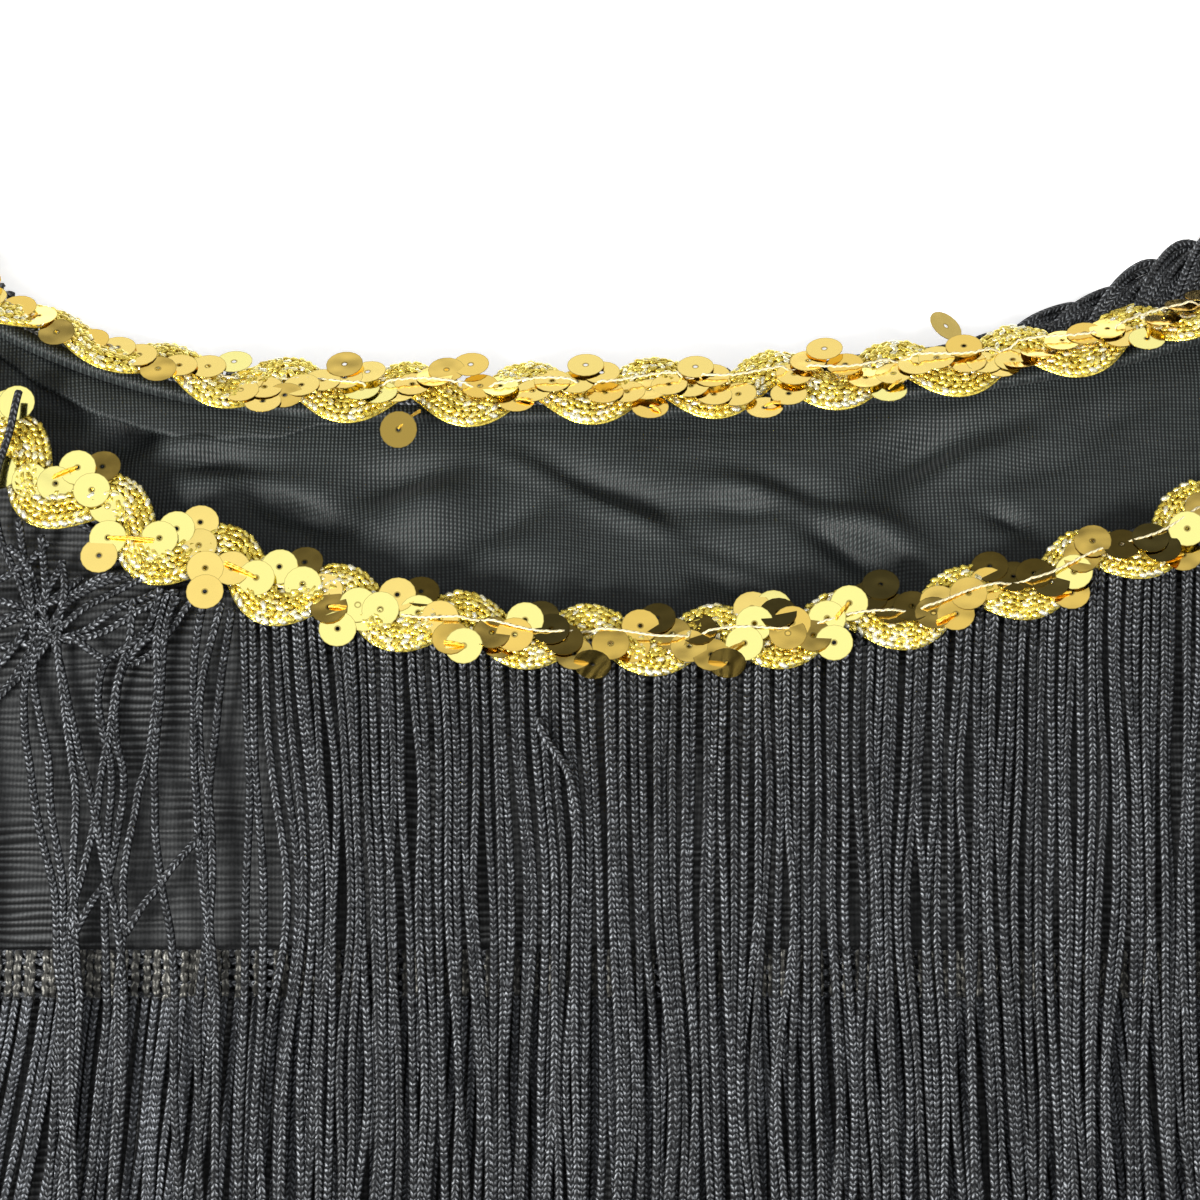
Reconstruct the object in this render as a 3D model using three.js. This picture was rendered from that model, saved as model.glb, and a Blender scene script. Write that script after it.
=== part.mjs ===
// A sleeveless fringed flapper dress, laid flat on its back on a table. Millimetres, +Z up.
// The hem points to -Y and the shoulders to +Y. The origin is the middle of the underside.
// A front and a back of thin knit, five rows of fringe on each, and a gold wave braid round the neck.
// The back neck's edge is turned up towards the viewer, so its braid shows and its fringe loops under it.
import * as THREE from "three";

// Driving sizes of the cut. "Below" is a distance under the top of the shoulder.
const WALL = 1.2; // thickness of the knit
const GAP = 0.35; // between pieces that lie on each other
// The dress is laid a little turned, so each neck is deeper on the wearer's right, by its skew.
const BACK_NECK = { half: 122, drop: 60.3, bow: 2.32, power: 0.285, skew: -0.055 };
const FRONT_NECK = { half: 135, drop: 102.3, bow: 1.88, power: 0.43, skew: -0.015 };
const SHOULDER_END = 176;
const SHOULDER_SLOPE = 14;
const UNDERARM_BELOW = 215;
const UNDERARM_HALF = 225;
const HEM_BELOW = 752;
const FIRST_ROW_BELOW = 158; // the first straight row of fringe, on the chest
const ROW_STEP = 152;
const STRAND_LENGTH = 160;
const STRAIGHT_ROWS = ["chest", "waist", "hip", "hem"];

// Half of the body's width, at the underarm and lower.
const sideSections = [
  { below: UNDERARM_BELOW, half: UNDERARM_HALF },
  { below: 400, half: 215 },
  { below: 560, half: 226 },
  { below: HEM_BELOW, half: 240 },
];

// Soft ridges in the back's inside, where the low front neck shows it. Angle is from +X, in degrees.
const backRidges = [
  { x: -62, below: 72, angle: -24, length: 20, width: 6, height: 1.6 },
  { x: -28, below: 86, angle: -30, length: 22, width: 7, height: 1.5 },
  { x: -33, below: 73, angle: 40, length: 12, width: 5, height: 1.3 },
  { x: 8, below: 74, angle: -24, length: 20, width: 5, height: 1.4 },
  { x: 28, below: 87, angle: -32, length: 18, width: 6, height: 1.5 },
  { x: 56, below: 70, angle: 30, length: 17, width: 6, height: 1.5 },
  { x: 72, below: 60, angle: 12, length: 14, width: 6, height: 1.2 },
];

// Long soft folds down the front.
const frontFolds = [
  { x: -135, lean: 0.04, width: 60, height: 1.1 },
  { x: -20, lean: -0.03, width: 70, height: 1.0 },
  { x: 110, lean: 0.05, width: 64, height: 1.2 },
];

const STRIP_THICK = 1.8; // a fringe row's heading
const STRIP_WIDTH = 7; // of a neck row's heading
const ROW_STRIP_WIDTH = 9; // of a straight row's
const LOCK_THICK = 1.5; // a lock of strands
const NECK_LOCKS = { front: 25, back: 19 };
const ROW_LOCKS = { front: 21, back: 17 };
const SIDE_MARGIN = 6; // between a row's end and the side seam

// Heights above the table.
const TABLE = 0;
const BACK_UNDER = 4.35; // the back lies on the strands and headings of its own fringe
const SHOULDER_UNDER = LOCK_THICK + GAP; // there it lies on strands alone
const SHOULDER_REACH = 200; // how far down the back rises from one to the other
const NECK_ROLL_RISE = 1.5;
const NECK_ROLL_REACH = 18;
const CROWN = 2.3; // how far the front lifts off the back at the middle

// The wave braid of the neck.
const BRAID_REPEAT = 19.7;
const BRAID_STEPS = 6; // for each repeat
const BRAID_SWING = 3.3; // half of the wave's height
const BRAID_HALF_WIDTH = 3.8;
const BRAID_THICK = 1.4;
const BRAID_DIP = { front: -2, back: -11.7 }; // along the neck, one of the places where it swings lowest
const BRAID_INSET = { front: 4, back: 3.2 }; // its middle line, inside the cloth's edge or its fold
const SHOULDER_CLEAR = 5; // where the neck pieces stop, below the shoulder

const TOTAL_LENGTH = FIRST_ROW_BELOW + (STRAIGHT_ROWS.length - 1) * ROW_STEP + STRAND_LENGTH;
const TOP = TOTAL_LENGTH / 2;
const belowOf = (y) => TOP - y;

const clamp01 = (t) => Math.min(1, Math.max(0, t));
const smooth = (t) => clamp01(t) ** 2 * (3 - 2 * clamp01(t));
const mix = (a, b, t) => a + (b - a) * t;

// Half width of the body at a height, eased between the rows of sideSections.
function halfWidth(below) {
  const rows = sideSections;
  if (below <= rows[0].below) return rows[0].half;
  for (let i = 1; i < rows.length; i++)
    if (below <= rows[i].below) {
      const t = (below - rows[i - 1].below) / (rows[i].below - rows[i - 1].below);
      return mix(rows[i - 1].half, rows[i].half, smooth(t));
    }
  return rows[rows.length - 1].half;
}

// Edge of the cloth at the neck, as a distance below the shoulder.
function neckBelow(x, neck) {
  const fall = (1 - clamp01(Math.abs(x) / neck.half) ** neck.bow) ** neck.power;
  return fall * (neck.drop + neck.skew * x);
}
const frontNeck = (x) => neckBelow(x, FRONT_NECK);
const backNeck = (x) => neckBelow(x, BACK_NECK);

// The quarter curve of an armhole, from the shoulder's end to the underarm.
const ARMHOLE_POWER = 2.2;
function armholeBelow(x) {
  const inward = (UNDERARM_HALF - Math.abs(x)) / (UNDERARM_HALF - SHOULDER_END);
  const fall = (1 - clamp01(inward) ** ARMHOLE_POWER) ** (1 / ARMHOLE_POWER);
  return mix(SHOULDER_SLOPE, UNDERARM_BELOW, fall);
}
function armholeX(below) {
  const fall = clamp01((below - SHOULDER_SLOPE) / (UNDERARM_BELOW - SHOULDER_SLOPE));
  const inward = (1 - fall ** ARMHOLE_POWER) ** (1 / ARMHOLE_POWER);
  return UNDERARM_HALF - inward * (UNDERARM_HALF - SHOULDER_END);
}

// Top edge of a panel over one of its columns.
function topBelow(x, neckHalf, neckEdge) {
  const side = Math.abs(x);
  if (side <= neckHalf) return neckEdge(x);
  if (side <= SHOULDER_END) return (SHOULDER_SLOPE * (side - neckHalf)) / (SHOULDER_END - neckHalf);
  return armholeBelow(x);
}

// Underside of the back. It rises from the shoulders, lifts towards the turned neck edge,
// and carries the ridges of the neck window.
function backUnder(x, y) {
  const below = belowOf(y);
  const fromEdge = below - backNeck(x);
  const across = 1 - clamp01(Math.abs(x) / BACK_NECK.half) ** 2;
  const rest = mix(BACK_UNDER, SHOULDER_UNDER, (1 - clamp01(below / SHOULDER_REACH)) ** 2);
  const roll = NECK_ROLL_RISE * Math.exp(-((fromEdge / NECK_ROLL_REACH) ** 2)) * across;
  const window = smooth((frontNeck(x) - below - 4) / 10) * smooth((fromEdge - 12) / 8) * across;
  if (window === 0) return rest + roll;
  let ridges = 0;
  for (const r of backRidges) {
    const turn = THREE.MathUtils.degToRad(r.angle);
    const dx = x - r.x;
    const dy = r.below - below;
    const along = (dx * Math.cos(turn) + dy * Math.sin(turn)) / r.length;
    const cross = (dy * Math.cos(turn) - dx * Math.sin(turn)) / r.width;
    ridges += r.height * Math.exp(-(along ** 2) - cross ** 2);
  }
  return rest + roll + ridges * window;
}
const backTop = (x, y) => backUnder(x, y) + WALL;

// How far the front lifts off the back: nothing along its seams, a low crown and soft folds between.
function frontLift(x, y) {
  const below = belowOf(y);
  const across = 1 - clamp01(Math.abs(x) / halfWidth(below)) ** 2;
  const along = clamp01(below / HEM_BELOW);
  let lift = CROWN;
  for (const f of frontFolds) {
    const off = (x - f.x - f.lean * below) / f.width;
    lift += f.height * Math.exp(-(off ** 2));
  }
  return lift * across * 4 * along * (1 - along);
}
const frontUnder = (x, y) => backTop(x, y) + GAP + frontLift(x, y);
const frontTop = (x, y) => frontUnder(x, y) + WALL;
const frontRise = (x, y) => frontTop(x, y) + GAP; // where what is sewn on the front lies

// A closed solid from rings of four corners, joined in order and capped at both ends.
// Triangles are kept as flat lists of numbers, three corners each.
function addQuad(out, a, b, c, d) {
  out.push(...a, ...b, ...c, ...a, ...c, ...d);
}
function addTube(out, rings, capStart) {
  for (let k = 0; k + 1 < rings.length; k++)
    for (let i = 0; i < 4; i++) {
      const j = (i + 1) % 4;
      addQuad(out, rings[k][i], rings[k][j], rings[k + 1][j], rings[k + 1][i]);
    }
  const last = rings[rings.length - 1];
  addQuad(out, last[0], last[1], last[2], last[3]);
  if (capStart) addQuad(out, rings[0][3], rings[0][2], rings[0][1], rings[0][0]);
}

// Turns a list of triangles into a mesh with its faces pointing out.
function meshOf(name, triangles, material) {
  let volume = 0;
  for (let i = 0; i < triangles.length; i += 9) {
    const [ax, ay, az, bx, by, bz, cx, cy, cz] = triangles.slice(i, i + 9);
    volume += ax * (by * cz - bz * cy) - ay * (bx * cz - bz * cx) + az * (bx * cy - by * cx);
  }
  if (volume < 0)
    for (let i = 0; i < triangles.length; i += 9)
      for (let k = 0; k < 3; k++) {
        const held = triangles[i + 3 + k];
        triangles[i + 3 + k] = triangles[i + 6 + k];
        triangles[i + 6 + k] = held;
      }
  const geometry = new THREE.BufferGeometry();
  geometry.setAttribute("position", new THREE.Float32BufferAttribute(triangles, 3));
  geometry.computeVertexNormals();
  const mesh = new THREE.Mesh(geometry, material);
  mesh.name = name;
  return mesh;
}

// Columns of a panel, closer together where its top edge is steep.
function panelColumns(neckHalf, neckSteps) {
  const columns = [];
  const armSteps = 5;
  for (let i = 0; i < armSteps; i++) {
    const swing = (i / armSteps) * (Math.PI / 2);
    columns.push(-mix(UNDERARM_HALF, SHOULDER_END, Math.sin(swing) ** 1.5));
  }
  columns.push(-SHOULDER_END, -(neckHalf + SHOULDER_END) / 2);
  for (let i = 0; i < neckSteps; i++)
    columns.push(-neckHalf * Math.cos((i / neckSteps) * (Math.PI / 2)));
  const mirrored = columns.map((x) => -x).reverse();
  return [...columns, 0, ...mirrored];
}

// A panel of cloth: a grid between its top edge and the hem, given its thickness, and closed all round.
// nearRows are distances below the top edge, and farRows more are spread from there to the hem.
function panel(name, neckHalf, neckEdge, under, neckSteps, nearRows, farRows, material) {
  const near = nearRows[nearRows.length - 1];
  const rows = panelColumns(neckHalf, neckSteps).map((column) => {
    const start = topBelow(column, neckHalf, neckEdge);
    const belows = nearRows.map((depth) => start + depth);
    for (let k = 1; k <= farRows; k++)
      belows.push(mix(start + near, HEM_BELOW, (k / farRows) ** 1.2));
    return belows.map((below) => {
      const x = (column * halfWidth(below)) / UNDERARM_HALF;
      const z = under(x, TOP - below);
      return { low: [x, TOP - below, z], high: [x, TOP - below, z + WALL] };
    });
  });
  const out = [];
  const lastRow = rows[0].length - 1;
  const lastColumn = rows.length - 1;
  for (let c = 0; c < lastColumn; c++)
    for (let r = 0; r < lastRow; r++) {
      const [a, b, d, e] = [rows[c][r], rows[c][r + 1], rows[c + 1][r + 1], rows[c + 1][r]];
      addQuad(out, a.high, b.high, d.high, e.high);
      addQuad(out, a.low, e.low, d.low, b.low);
    }
  for (let c = 0; c < lastColumn; c++) {
    addQuad(out, rows[c][0].low, rows[c][0].high, rows[c + 1][0].high, rows[c + 1][0].low);
    const [a, b] = [rows[c][lastRow], rows[c + 1][lastRow]];
    addQuad(out, a.high, a.low, b.low, b.high);
  }
  for (let r = 0; r < lastRow; r++) {
    const [a, b] = [rows[0][r], rows[0][r + 1]];
    addQuad(out, a.high, a.low, b.low, b.high);
    const [d, e] = [rows[lastColumn][r], rows[lastColumn][r + 1]];
    addQuad(out, d.low, d.high, e.high, e.low);
  }
  return meshOf(name, out, material);
}

// The neck edge as a path measured from its middle: place, direction and the way into the cloth.
function neckPath(neckHalf, neckEdge) {
  const steps = 720;
  const points = [];
  for (let i = 0; i <= steps; i++) {
    const x = -neckHalf * Math.cos((i / steps) * Math.PI);
    if (neckEdge(x) >= SHOULDER_CLEAR) points.push([x, TOP - neckEdge(x)]);
  }
  const lengths = [0];
  for (let i = 1; i < points.length; i++)
    lengths.push(
      lengths[i - 1] + Math.hypot(points[i][0] - points[i - 1][0], points[i][1] - points[i - 1][1]),
    );
  const total = lengths[lengths.length - 1];
  const middle = lengths[points.findIndex((p) => p[0] >= 0)];
  function at(s) {
    const want = Math.min(total, Math.max(0, s + middle));
    let i = lengths.findIndex((l) => l >= want);
    i = Math.min(points.length - 2, Math.max(1, i));
    const [a, b] = [points[i - 1], points[i]];
    const t = (want - lengths[i - 1]) / (lengths[i] - lengths[i - 1]);
    const span = Math.hypot(points[i + 1][0] - a[0], points[i + 1][1] - a[1]);
    const tangent = [(points[i + 1][0] - a[0]) / span, (points[i + 1][1] - a[1]) / span];
    return {
      x: mix(a[0], b[0], t),
      y: mix(a[1], b[1], t),
      tangent,
      inward: [tangent[1], -tangent[0]],
    };
  }
  return { start: -middle, end: total - middle, at };
}
const frontPath = neckPath(FRONT_NECK.half, frontNeck);
const backPath = neckPath(BACK_NECK.half, backNeck);

// A point beside the neck edge. A positive offset goes into the cloth.
function beside(path, s, offset) {
  const p = path.at(s);
  return [p.x + p.inward[0] * offset, p.y + p.inward[1] * offset];
}

// A row of fringe: a heading strip with a lock of strands from each stretch of its far side.
// stations give the strip's four corners, in pairs for each lock; locks give the rings after the root.
function comb(name, stations, locks, material) {
  const out = [];
  const last = stations.length - 1;
  for (let j = 0; j < last; j++) {
    const [p, q] = [stations[j], stations[j + 1]];
    const isRoot = j % 2 === 1;
    for (let i = 0; i < 4; i++) {
      if (i === 1 && isRoot) continue;
      const k = (i + 1) % 4;
      addQuad(out, p[i], p[k], q[k], q[i]);
    }
    if (isRoot) {
      const root = [p[1], p[2], q[2], q[1]];
      addTube(out, [root, ...locks[(j - 1) / 2]], false);
    }
  }
  addQuad(out, stations[0][3], stations[0][2], stations[0][1], stations[0][0]);
  addQuad(out, stations[last][0], stations[last][1], stations[last][2], stations[last][3]);
  return meshOf(name, out, material);
}

// Ring of a lock at a point of its path: left and right of the line, lower face and thickness.
function lockRing(centre, direction, width, under, thick) {
  const span = Math.hypot(direction[0], direction[1]);
  const side = [(-direction[1] / span) * (width / 2), (direction[0] / span) * (width / 2)];
  const left = [centre[0] - side[0], centre[1] - side[1]];
  const right = [centre[0] + side[0], centre[1] + side[1]];
  const [zl, zr] = [under(...left), under(...right)];
  return [
    [...left, zl + thick],
    [...left, zl],
    [...right, zr],
    [...right, zr + thick],
  ];
}

// Each lock leans a little to one side, and no two alike.
const sway = (index, row) => Math.sin(index * 2.4 + row * 1.7);

// Straight rows.
function rowEnd(below) {
  const edge = below < UNDERARM_BELOW ? armholeX(below) : halfWidth(below);
  return edge - SIDE_MARGIN;
}
function straightStations(below, count, low, high) {
  const end = rowEnd(below);
  const pitch = (2 * end) / count;
  const xs = [-end];
  for (let i = 0; i < count; i++) {
    const centre = -end + pitch * (i + 0.5);
    xs.push(centre - pitch * 0.39, centre + pitch * 0.39);
  }
  xs.push(end);
  const [yTop, yLow] = [TOP - below, TOP - below - ROW_STRIP_WIDTH];
  return xs.map((x) => [
    [x, yTop, high(x, yTop)],
    [x, yLow, high(x, yLow)],
    [x, yLow, low(x, yLow)],
    [x, yTop, low(x, yTop)],
  ]);
}

// Locks differ a little in length. The first of each row is the longest.
const UNEVEN = 1.5;
const shortBy = (index) => UNEVEN * (1 - Math.cos(index * 2.4));

// Tips spread with the widening body, and stay inside the side seams.
function straightLock(index, count, row, below, steps, under) {
  const end = rowEnd(below);
  const pitch = (2 * end) / count;
  const x0 = -end + pitch * (index + 0.5);
  const reach = below + STRAND_LENGTH - shortBy(index);
  const spread = rowEnd(Math.min(reach, HEM_BELOW)) / end;
  return steps.map((t) => {
    const at = mix(below + ROW_STRIP_WIDTH, reach, t);
    const x = x0 * mix(1, spread, t) + 1.1 * sway(index, row) * t;
    const width = pitch * mix(0.78, 0.72, t);
    return lockRing([x, TOP - at], [0, -1], width, (px, py) => under(px, py, at), LOCK_THICK);
  });
}

// Height of a front lock over the cloth: it steps up onto the next heading that it crosses.
const STEP_UP = STRIP_THICK + 1.3 * GAP;
const stepOver = (below, next, ahead) => STEP_UP * smooth((below - next + ahead) / (ahead * 0.6));

function frontRow(row, material) {
  const below = FIRST_ROW_BELOW + row * ROW_STEP;
  const next = below + ROW_STEP;
  const count = ROW_LOCKS.front;
  const high = (x, y) => frontRise(x, y) + STRIP_THICK;
  const stations = straightStations(below, count, frontRise, high);
  const steps = [0.35, 0.65, 0.8, 0.94, 1];
  const hemY = TOP - HEM_BELOW;
  const under = (x, y, at) => frontRise(x, Math.max(y, hemY)) + stepOver(at, next, 36);
  const locks = [];
  for (let i = 0; i < count; i++) locks.push(straightLock(i, count, row, below, steps, under));
  return comb(`fringe_front_${STRAIGHT_ROWS[row]}`, stations, locks, material);
}

// A back row hangs from the underside. Its strands drop to the table once past the row above.
const ROW_GAP = 0.5; // a little more than GAP, for the rise of the back under the straps
function backRow(row, material) {
  const below = FIRST_ROW_BELOW + row * ROW_STEP;
  const count = ROW_LOCKS.back;
  const high = (x, y) => backUnder(x, y) - ROW_GAP;
  const stations = straightStations(below, count, (x, y) => high(x, y) - STRIP_THICK, high);
  const dropAt = row === 0 ? 0.6 : 0.12;
  const dropBy = 0.12;
  const held = high(0, TOP - below) - LOCK_THICK;
  const dropped = below + ROW_STRIP_WIDTH + (STRAND_LENGTH - ROW_STRIP_WIDTH) * (dropAt + dropBy / 2);
  const under = (x, y, at) => (at < dropped ? held : TABLE);
  const steps = [dropAt, dropAt + dropBy, 1];
  const locks = [];
  for (let i = 0; i < count; i++) locks.push(straightLock(i, count, row, below, steps, under));
  return comb(`fringe_back_${STRAIGHT_ROWS[row]}`, stations, locks, material);
}

// Stations along the neck, in pairs for each lock.
function neckStations(path, count, corners) {
  const pitch = (path.end - path.start) / count;
  const marks = [path.start];
  for (let i = 0; i < count; i++) {
    const centre = path.start + pitch * (i + 0.5);
    marks.push(centre - pitch * 0.36, centre + pitch * 0.36);
  }
  marks.push(path.end);
  return marks.map(corners);
}

// Plan of a neck lock. It leaves the neck and turns down, and the tips spread along the row.
const TIP_SPREAD = 0.93;
function neckLockPlan(path, s, offset, length) {
  const root = beside(path, s, offset);
  const tip = s * TIP_SPREAD;
  const turn = 0.6;
  const place = (t) => {
    const eased = 1 - (1 - Math.min(1, t / turn)) ** 2;
    return [mix(root[0], tip, eased), root[1] - length * t];
  };
  const heading = (t) => {
    const [a, b] = [place(Math.max(0, t - 0.01)), place(t + 0.01)];
    return [b[0] - a[0], b[1] - a[1]];
  };
  return { place, heading };
}

const FRONT_STRIP_NEAR = 0.8; // between the cloth's edge and the heading

function frontNeckFringe(material) {
  const path = frontPath;
  const count = NECK_LOCKS.front;
  const far = FRONT_STRIP_NEAR + STRIP_WIDTH;
  const stations = neckStations(path, count, (s) => {
    const [near, root] = [beside(path, s, FRONT_STRIP_NEAR), beside(path, s, far)];
    return [
      [...near, frontRise(...near) + STRIP_THICK],
      [...root, frontRise(...root) + STRIP_THICK],
      [...root, frontRise(...root)],
      [...near, frontRise(...near)],
    ];
  });
  const pitch = (path.end - path.start) / count;
  const steps = [0.05, 0.2, 0.42, 0.7, 1];
  const locks = [];
  for (let i = 0; i < count; i++) {
    const s = path.start + pitch * (i + 0.5);
    const plan = neckLockPlan(path, s, far, STRAND_LENGTH - STRIP_WIDTH - shortBy(i));
    const room = FIRST_ROW_BELOW - belowOf(beside(path, s, far)[1]);
    const ahead = Math.min(62, room - 6);
    const under = (x, y) => frontRise(x, y) + stepOver(belowOf(y), FIRST_ROW_BELOW, ahead);
    locks.push(
      steps.map((t) => {
        const width = pitch * mix(0.48, 0.76, smooth(t / 0.5));
        return lockRing(plan.place(t), plan.heading(t), width, under, LOCK_THICK);
      }),
    );
  }
  return comb("fringe_front_neck", stations, locks, material);
}

// The back neck's edge is turned up on a fold and tilts away from the viewer, most beside the straps.
// "along" is measured along its slope from the fold, and "lift" square to it.
const TURNED_WIDTH = 9;
const FOLD_INSET = 0.1;
const FOLD_GAP = 0.5; // a little more than GAP, for the curve of the neck
const turnedTilts = [
  { s: 0, tilt: 27 },
  { s: 70, tilt: 27 },
  { s: 100, tilt: 44 },
  { s: 120, tilt: 30 },
  { s: 140, tilt: 12 },
];
function easedRow(rows, s, name) {
  for (let i = 1; i < rows.length; i++)
    if (s <= rows[i].s) {
      const [a, b] = [rows[i - 1], rows[i]];
      return mix(a[name], b[name], smooth((s - a.s) / (b.s - a.s)));
    }
  return rows[rows.length - 1][name];
}
function onTurnedEdge(s, along, lift) {
  const tilt = THREE.MathUtils.degToRad(easedRow(turnedTilts, Math.abs(s), "tilt"));
  const [x, y] = beside(backPath, s, FOLD_INSET);
  const out = FOLD_INSET + along * Math.cos(tilt) - lift * Math.sin(tilt);
  const z = backTop(x, y) + FOLD_GAP + along * Math.sin(tilt) + lift * Math.cos(tilt);
  return [...beside(backPath, s, out), z];
}

// The back neck's fringe leaves the fold on its far side, loops round it and runs under the back.
// How far the loops stand out of the neck, from the wearer's right to the left.
const loopReach = [
  { s: -150, reach: 5.5 },
  { s: 55, reach: 5.5 },
  { s: 100, reach: 15 },
  { s: 125, reach: 15 },
  { s: 150, reach: 6 },
];
const LOOP_TABLE_GAP = 0.15; // these strands are held up by the rest of the dress, just off the table
const LOOP_START = 4.4; // on the turned edge's slope, where the loops leave it

function backNeckFringe(material) {
  const path = backPath;
  const count = NECK_LOCKS.back;
  const stations = neckStations(path, count, (s) => [
    onTurnedEdge(s, TURNED_WIDTH, STRIP_THICK),
    onTurnedEdge(s, 0, STRIP_THICK),
    onTurnedEdge(s, 0, 0),
    onTurnedEdge(s, TURNED_WIDTH, 0),
  ]);
  const pitch = (path.end - path.start) / count;
  const bottom = TABLE + LOOP_TABLE_GAP;
  const locks = [];
  for (let i = 0; i < count; i++) {
    const s = path.start + pitch * (i + 0.5);
    const half = pitch * 0.33;
    const reach = easedRow(loopReach, s, "reach");
    // Down the slope past the fold, then round and back, lying on the table.
    const [left, right] = [s - half, s + half];
    const crest = onTurnedEdge(s, -LOOP_START, LOCK_THICK)[2];
    const middle = mix(bottom, crest, 0.5);
    const beyond = (at, distance, z) => [...beside(path, at, -distance), z];
    const rings = [
      [
        onTurnedEdge(left, -LOOP_START, LOCK_THICK),
        onTurnedEdge(left, -LOOP_START, 0.1),
        onTurnedEdge(right, -LOOP_START, 0.1),
        onTurnedEdge(right, -LOOP_START, LOCK_THICK),
      ],
      [
        beyond(left, reach, middle),
        beyond(left, reach - LOCK_THICK, middle),
        beyond(right, reach - LOCK_THICK, middle),
        beyond(right, reach, middle),
      ],
      [
        beyond(left, reach * 0.5, bottom),
        beyond(left, reach * 0.5, bottom + LOCK_THICK),
        beyond(right, reach * 0.5, bottom + LOCK_THICK),
        beyond(right, reach * 0.5, bottom),
      ],
    ];
    const tucked = 4; // under the cloth, where the lock turns down
    const plan = neckLockPlan(path, s, tucked, STRAND_LENGTH - 14 - shortBy(i));
    for (const t of [0, 0.16, 0.45, 1]) {
      const width = pitch * mix(0.5, 0.76, smooth(t / 0.5));
      const ring = lockRing(plan.place(t), plan.heading(t), width, () => bottom, LOCK_THICK);
      // The lock is upside down after the turn, so its lower face comes first here.
      rings.push([ring[1], ring[0], ring[3], ring[2]]);
    }
    locks.push(rings);
  }
  return comb("fringe_back_neck", stations, locks, material);
}

// The wave braid: a flat band that swings to each side of a line beside the neck edge.
function braid(name, path, dip, place, material) {
  const steps = Math.round(((path.end - path.start) / BRAID_REPEAT) * BRAID_STEPS);
  const rings = [];
  for (let i = 0; i <= steps; i++) {
    const s = mix(path.start, path.end, i / steps);
    const swing = BRAID_SWING * Math.cos(((s - dip) / BRAID_REPEAT) * 2 * Math.PI);
    const [near, far] = [swing - BRAID_HALF_WIDTH, swing + BRAID_HALF_WIDTH];
    rings.push([
      place(s, near, BRAID_THICK),
      place(s, near, 0),
      place(s, far, 0),
      place(s, far, BRAID_THICK),
    ]);
  }
  const out = [];
  addTube(out, rings, true);
  return meshOf(name, out, material);
}

// The front braid lies on its heading, and the back one on the turned edge.
function onFrontHeading(s, across, lift) {
  const inset = BRAID_INSET.front + across;
  const held = beside(frontPath, s, Math.max(inset, FRONT_STRIP_NEAR));
  return [...beside(frontPath, s, inset), frontRise(...held) + STRIP_THICK + GAP + lift];
}
function onBackHeading(s, across, lift) {
  return onTurnedEdge(s, BRAID_INSET.back + across, STRIP_THICK + 2 * FOLD_GAP + lift);
}

const knit = new THREE.MeshStandardMaterial({ color: 0x17191b, roughness: 0.75, metalness: 0 });
const fringeYarn = new THREE.MeshStandardMaterial({ color: 0x24272a, roughness: 0.6, metalness: 0 });
const goldBraid = new THREE.MeshStandardMaterial({ color: 0xd8a524, roughness: 0.35, metalness: 0.8 });

const dress = new THREE.Group();
const backNear = [0, 7, 14, 22, 31, 44, 62];
const frontNear = [0, 9, 24, 44];
dress.add(panel("back_panel", BACK_NECK.half, backNeck, backUnder, 12, backNear, 7, knit));
dress.add(panel("front_panel", FRONT_NECK.half, frontNeck, frontUnder, 9, frontNear, 8, knit));
dress.add(backNeckFringe(fringeYarn));
dress.add(frontNeckFringe(fringeYarn));
for (let row = 0; row < STRAIGHT_ROWS.length; row++) {
  dress.add(backRow(row, fringeYarn));
  dress.add(frontRow(row, fringeYarn));
}
dress.add(braid("braid_back_neck", backPath, BRAID_DIP.back, onBackHeading, goldBraid));
dress.add(braid("braid_front_neck", frontPath, BRAID_DIP.front, onFrontHeading, goldBraid));

export default dress;
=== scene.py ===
import math
import bmesh
import bpy
import numpy as np
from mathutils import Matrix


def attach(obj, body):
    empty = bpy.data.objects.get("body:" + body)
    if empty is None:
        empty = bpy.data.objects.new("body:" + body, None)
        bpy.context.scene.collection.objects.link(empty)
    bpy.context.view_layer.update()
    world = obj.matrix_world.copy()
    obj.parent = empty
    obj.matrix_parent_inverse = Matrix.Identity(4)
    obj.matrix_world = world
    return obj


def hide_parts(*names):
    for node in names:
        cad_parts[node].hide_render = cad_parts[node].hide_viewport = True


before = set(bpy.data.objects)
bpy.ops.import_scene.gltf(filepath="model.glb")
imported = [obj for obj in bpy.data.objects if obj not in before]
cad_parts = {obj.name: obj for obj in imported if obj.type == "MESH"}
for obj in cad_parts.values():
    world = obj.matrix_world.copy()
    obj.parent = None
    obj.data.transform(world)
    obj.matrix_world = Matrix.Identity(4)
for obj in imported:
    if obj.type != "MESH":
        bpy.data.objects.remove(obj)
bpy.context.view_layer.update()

mm = 0.001

# The cut of the dress, the same as its solids, in millimetres. "Below" is under the shoulder's top.
dressCut = {
    "top": 387.0, "wall": 1.2, "gap": 0.35,
    "shoulderEnd": 176.0, "shoulderSlope": 14.0, "underarmBelow": 215.0, "underarmHalf": 225.0,
    "armholePower": 2.2, "hemBelow": 752.0, "sides": [(215, 225), (400, 215), (560, 226), (752, 240)],
    "firstRow": 158.0, "rowStep": 152.0, "strandLength": 160.0, "headingThick": 1.8,
    "lockThick": 1.5, "sideMargin": 6.0, "rowGap": 0.5,
}
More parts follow.
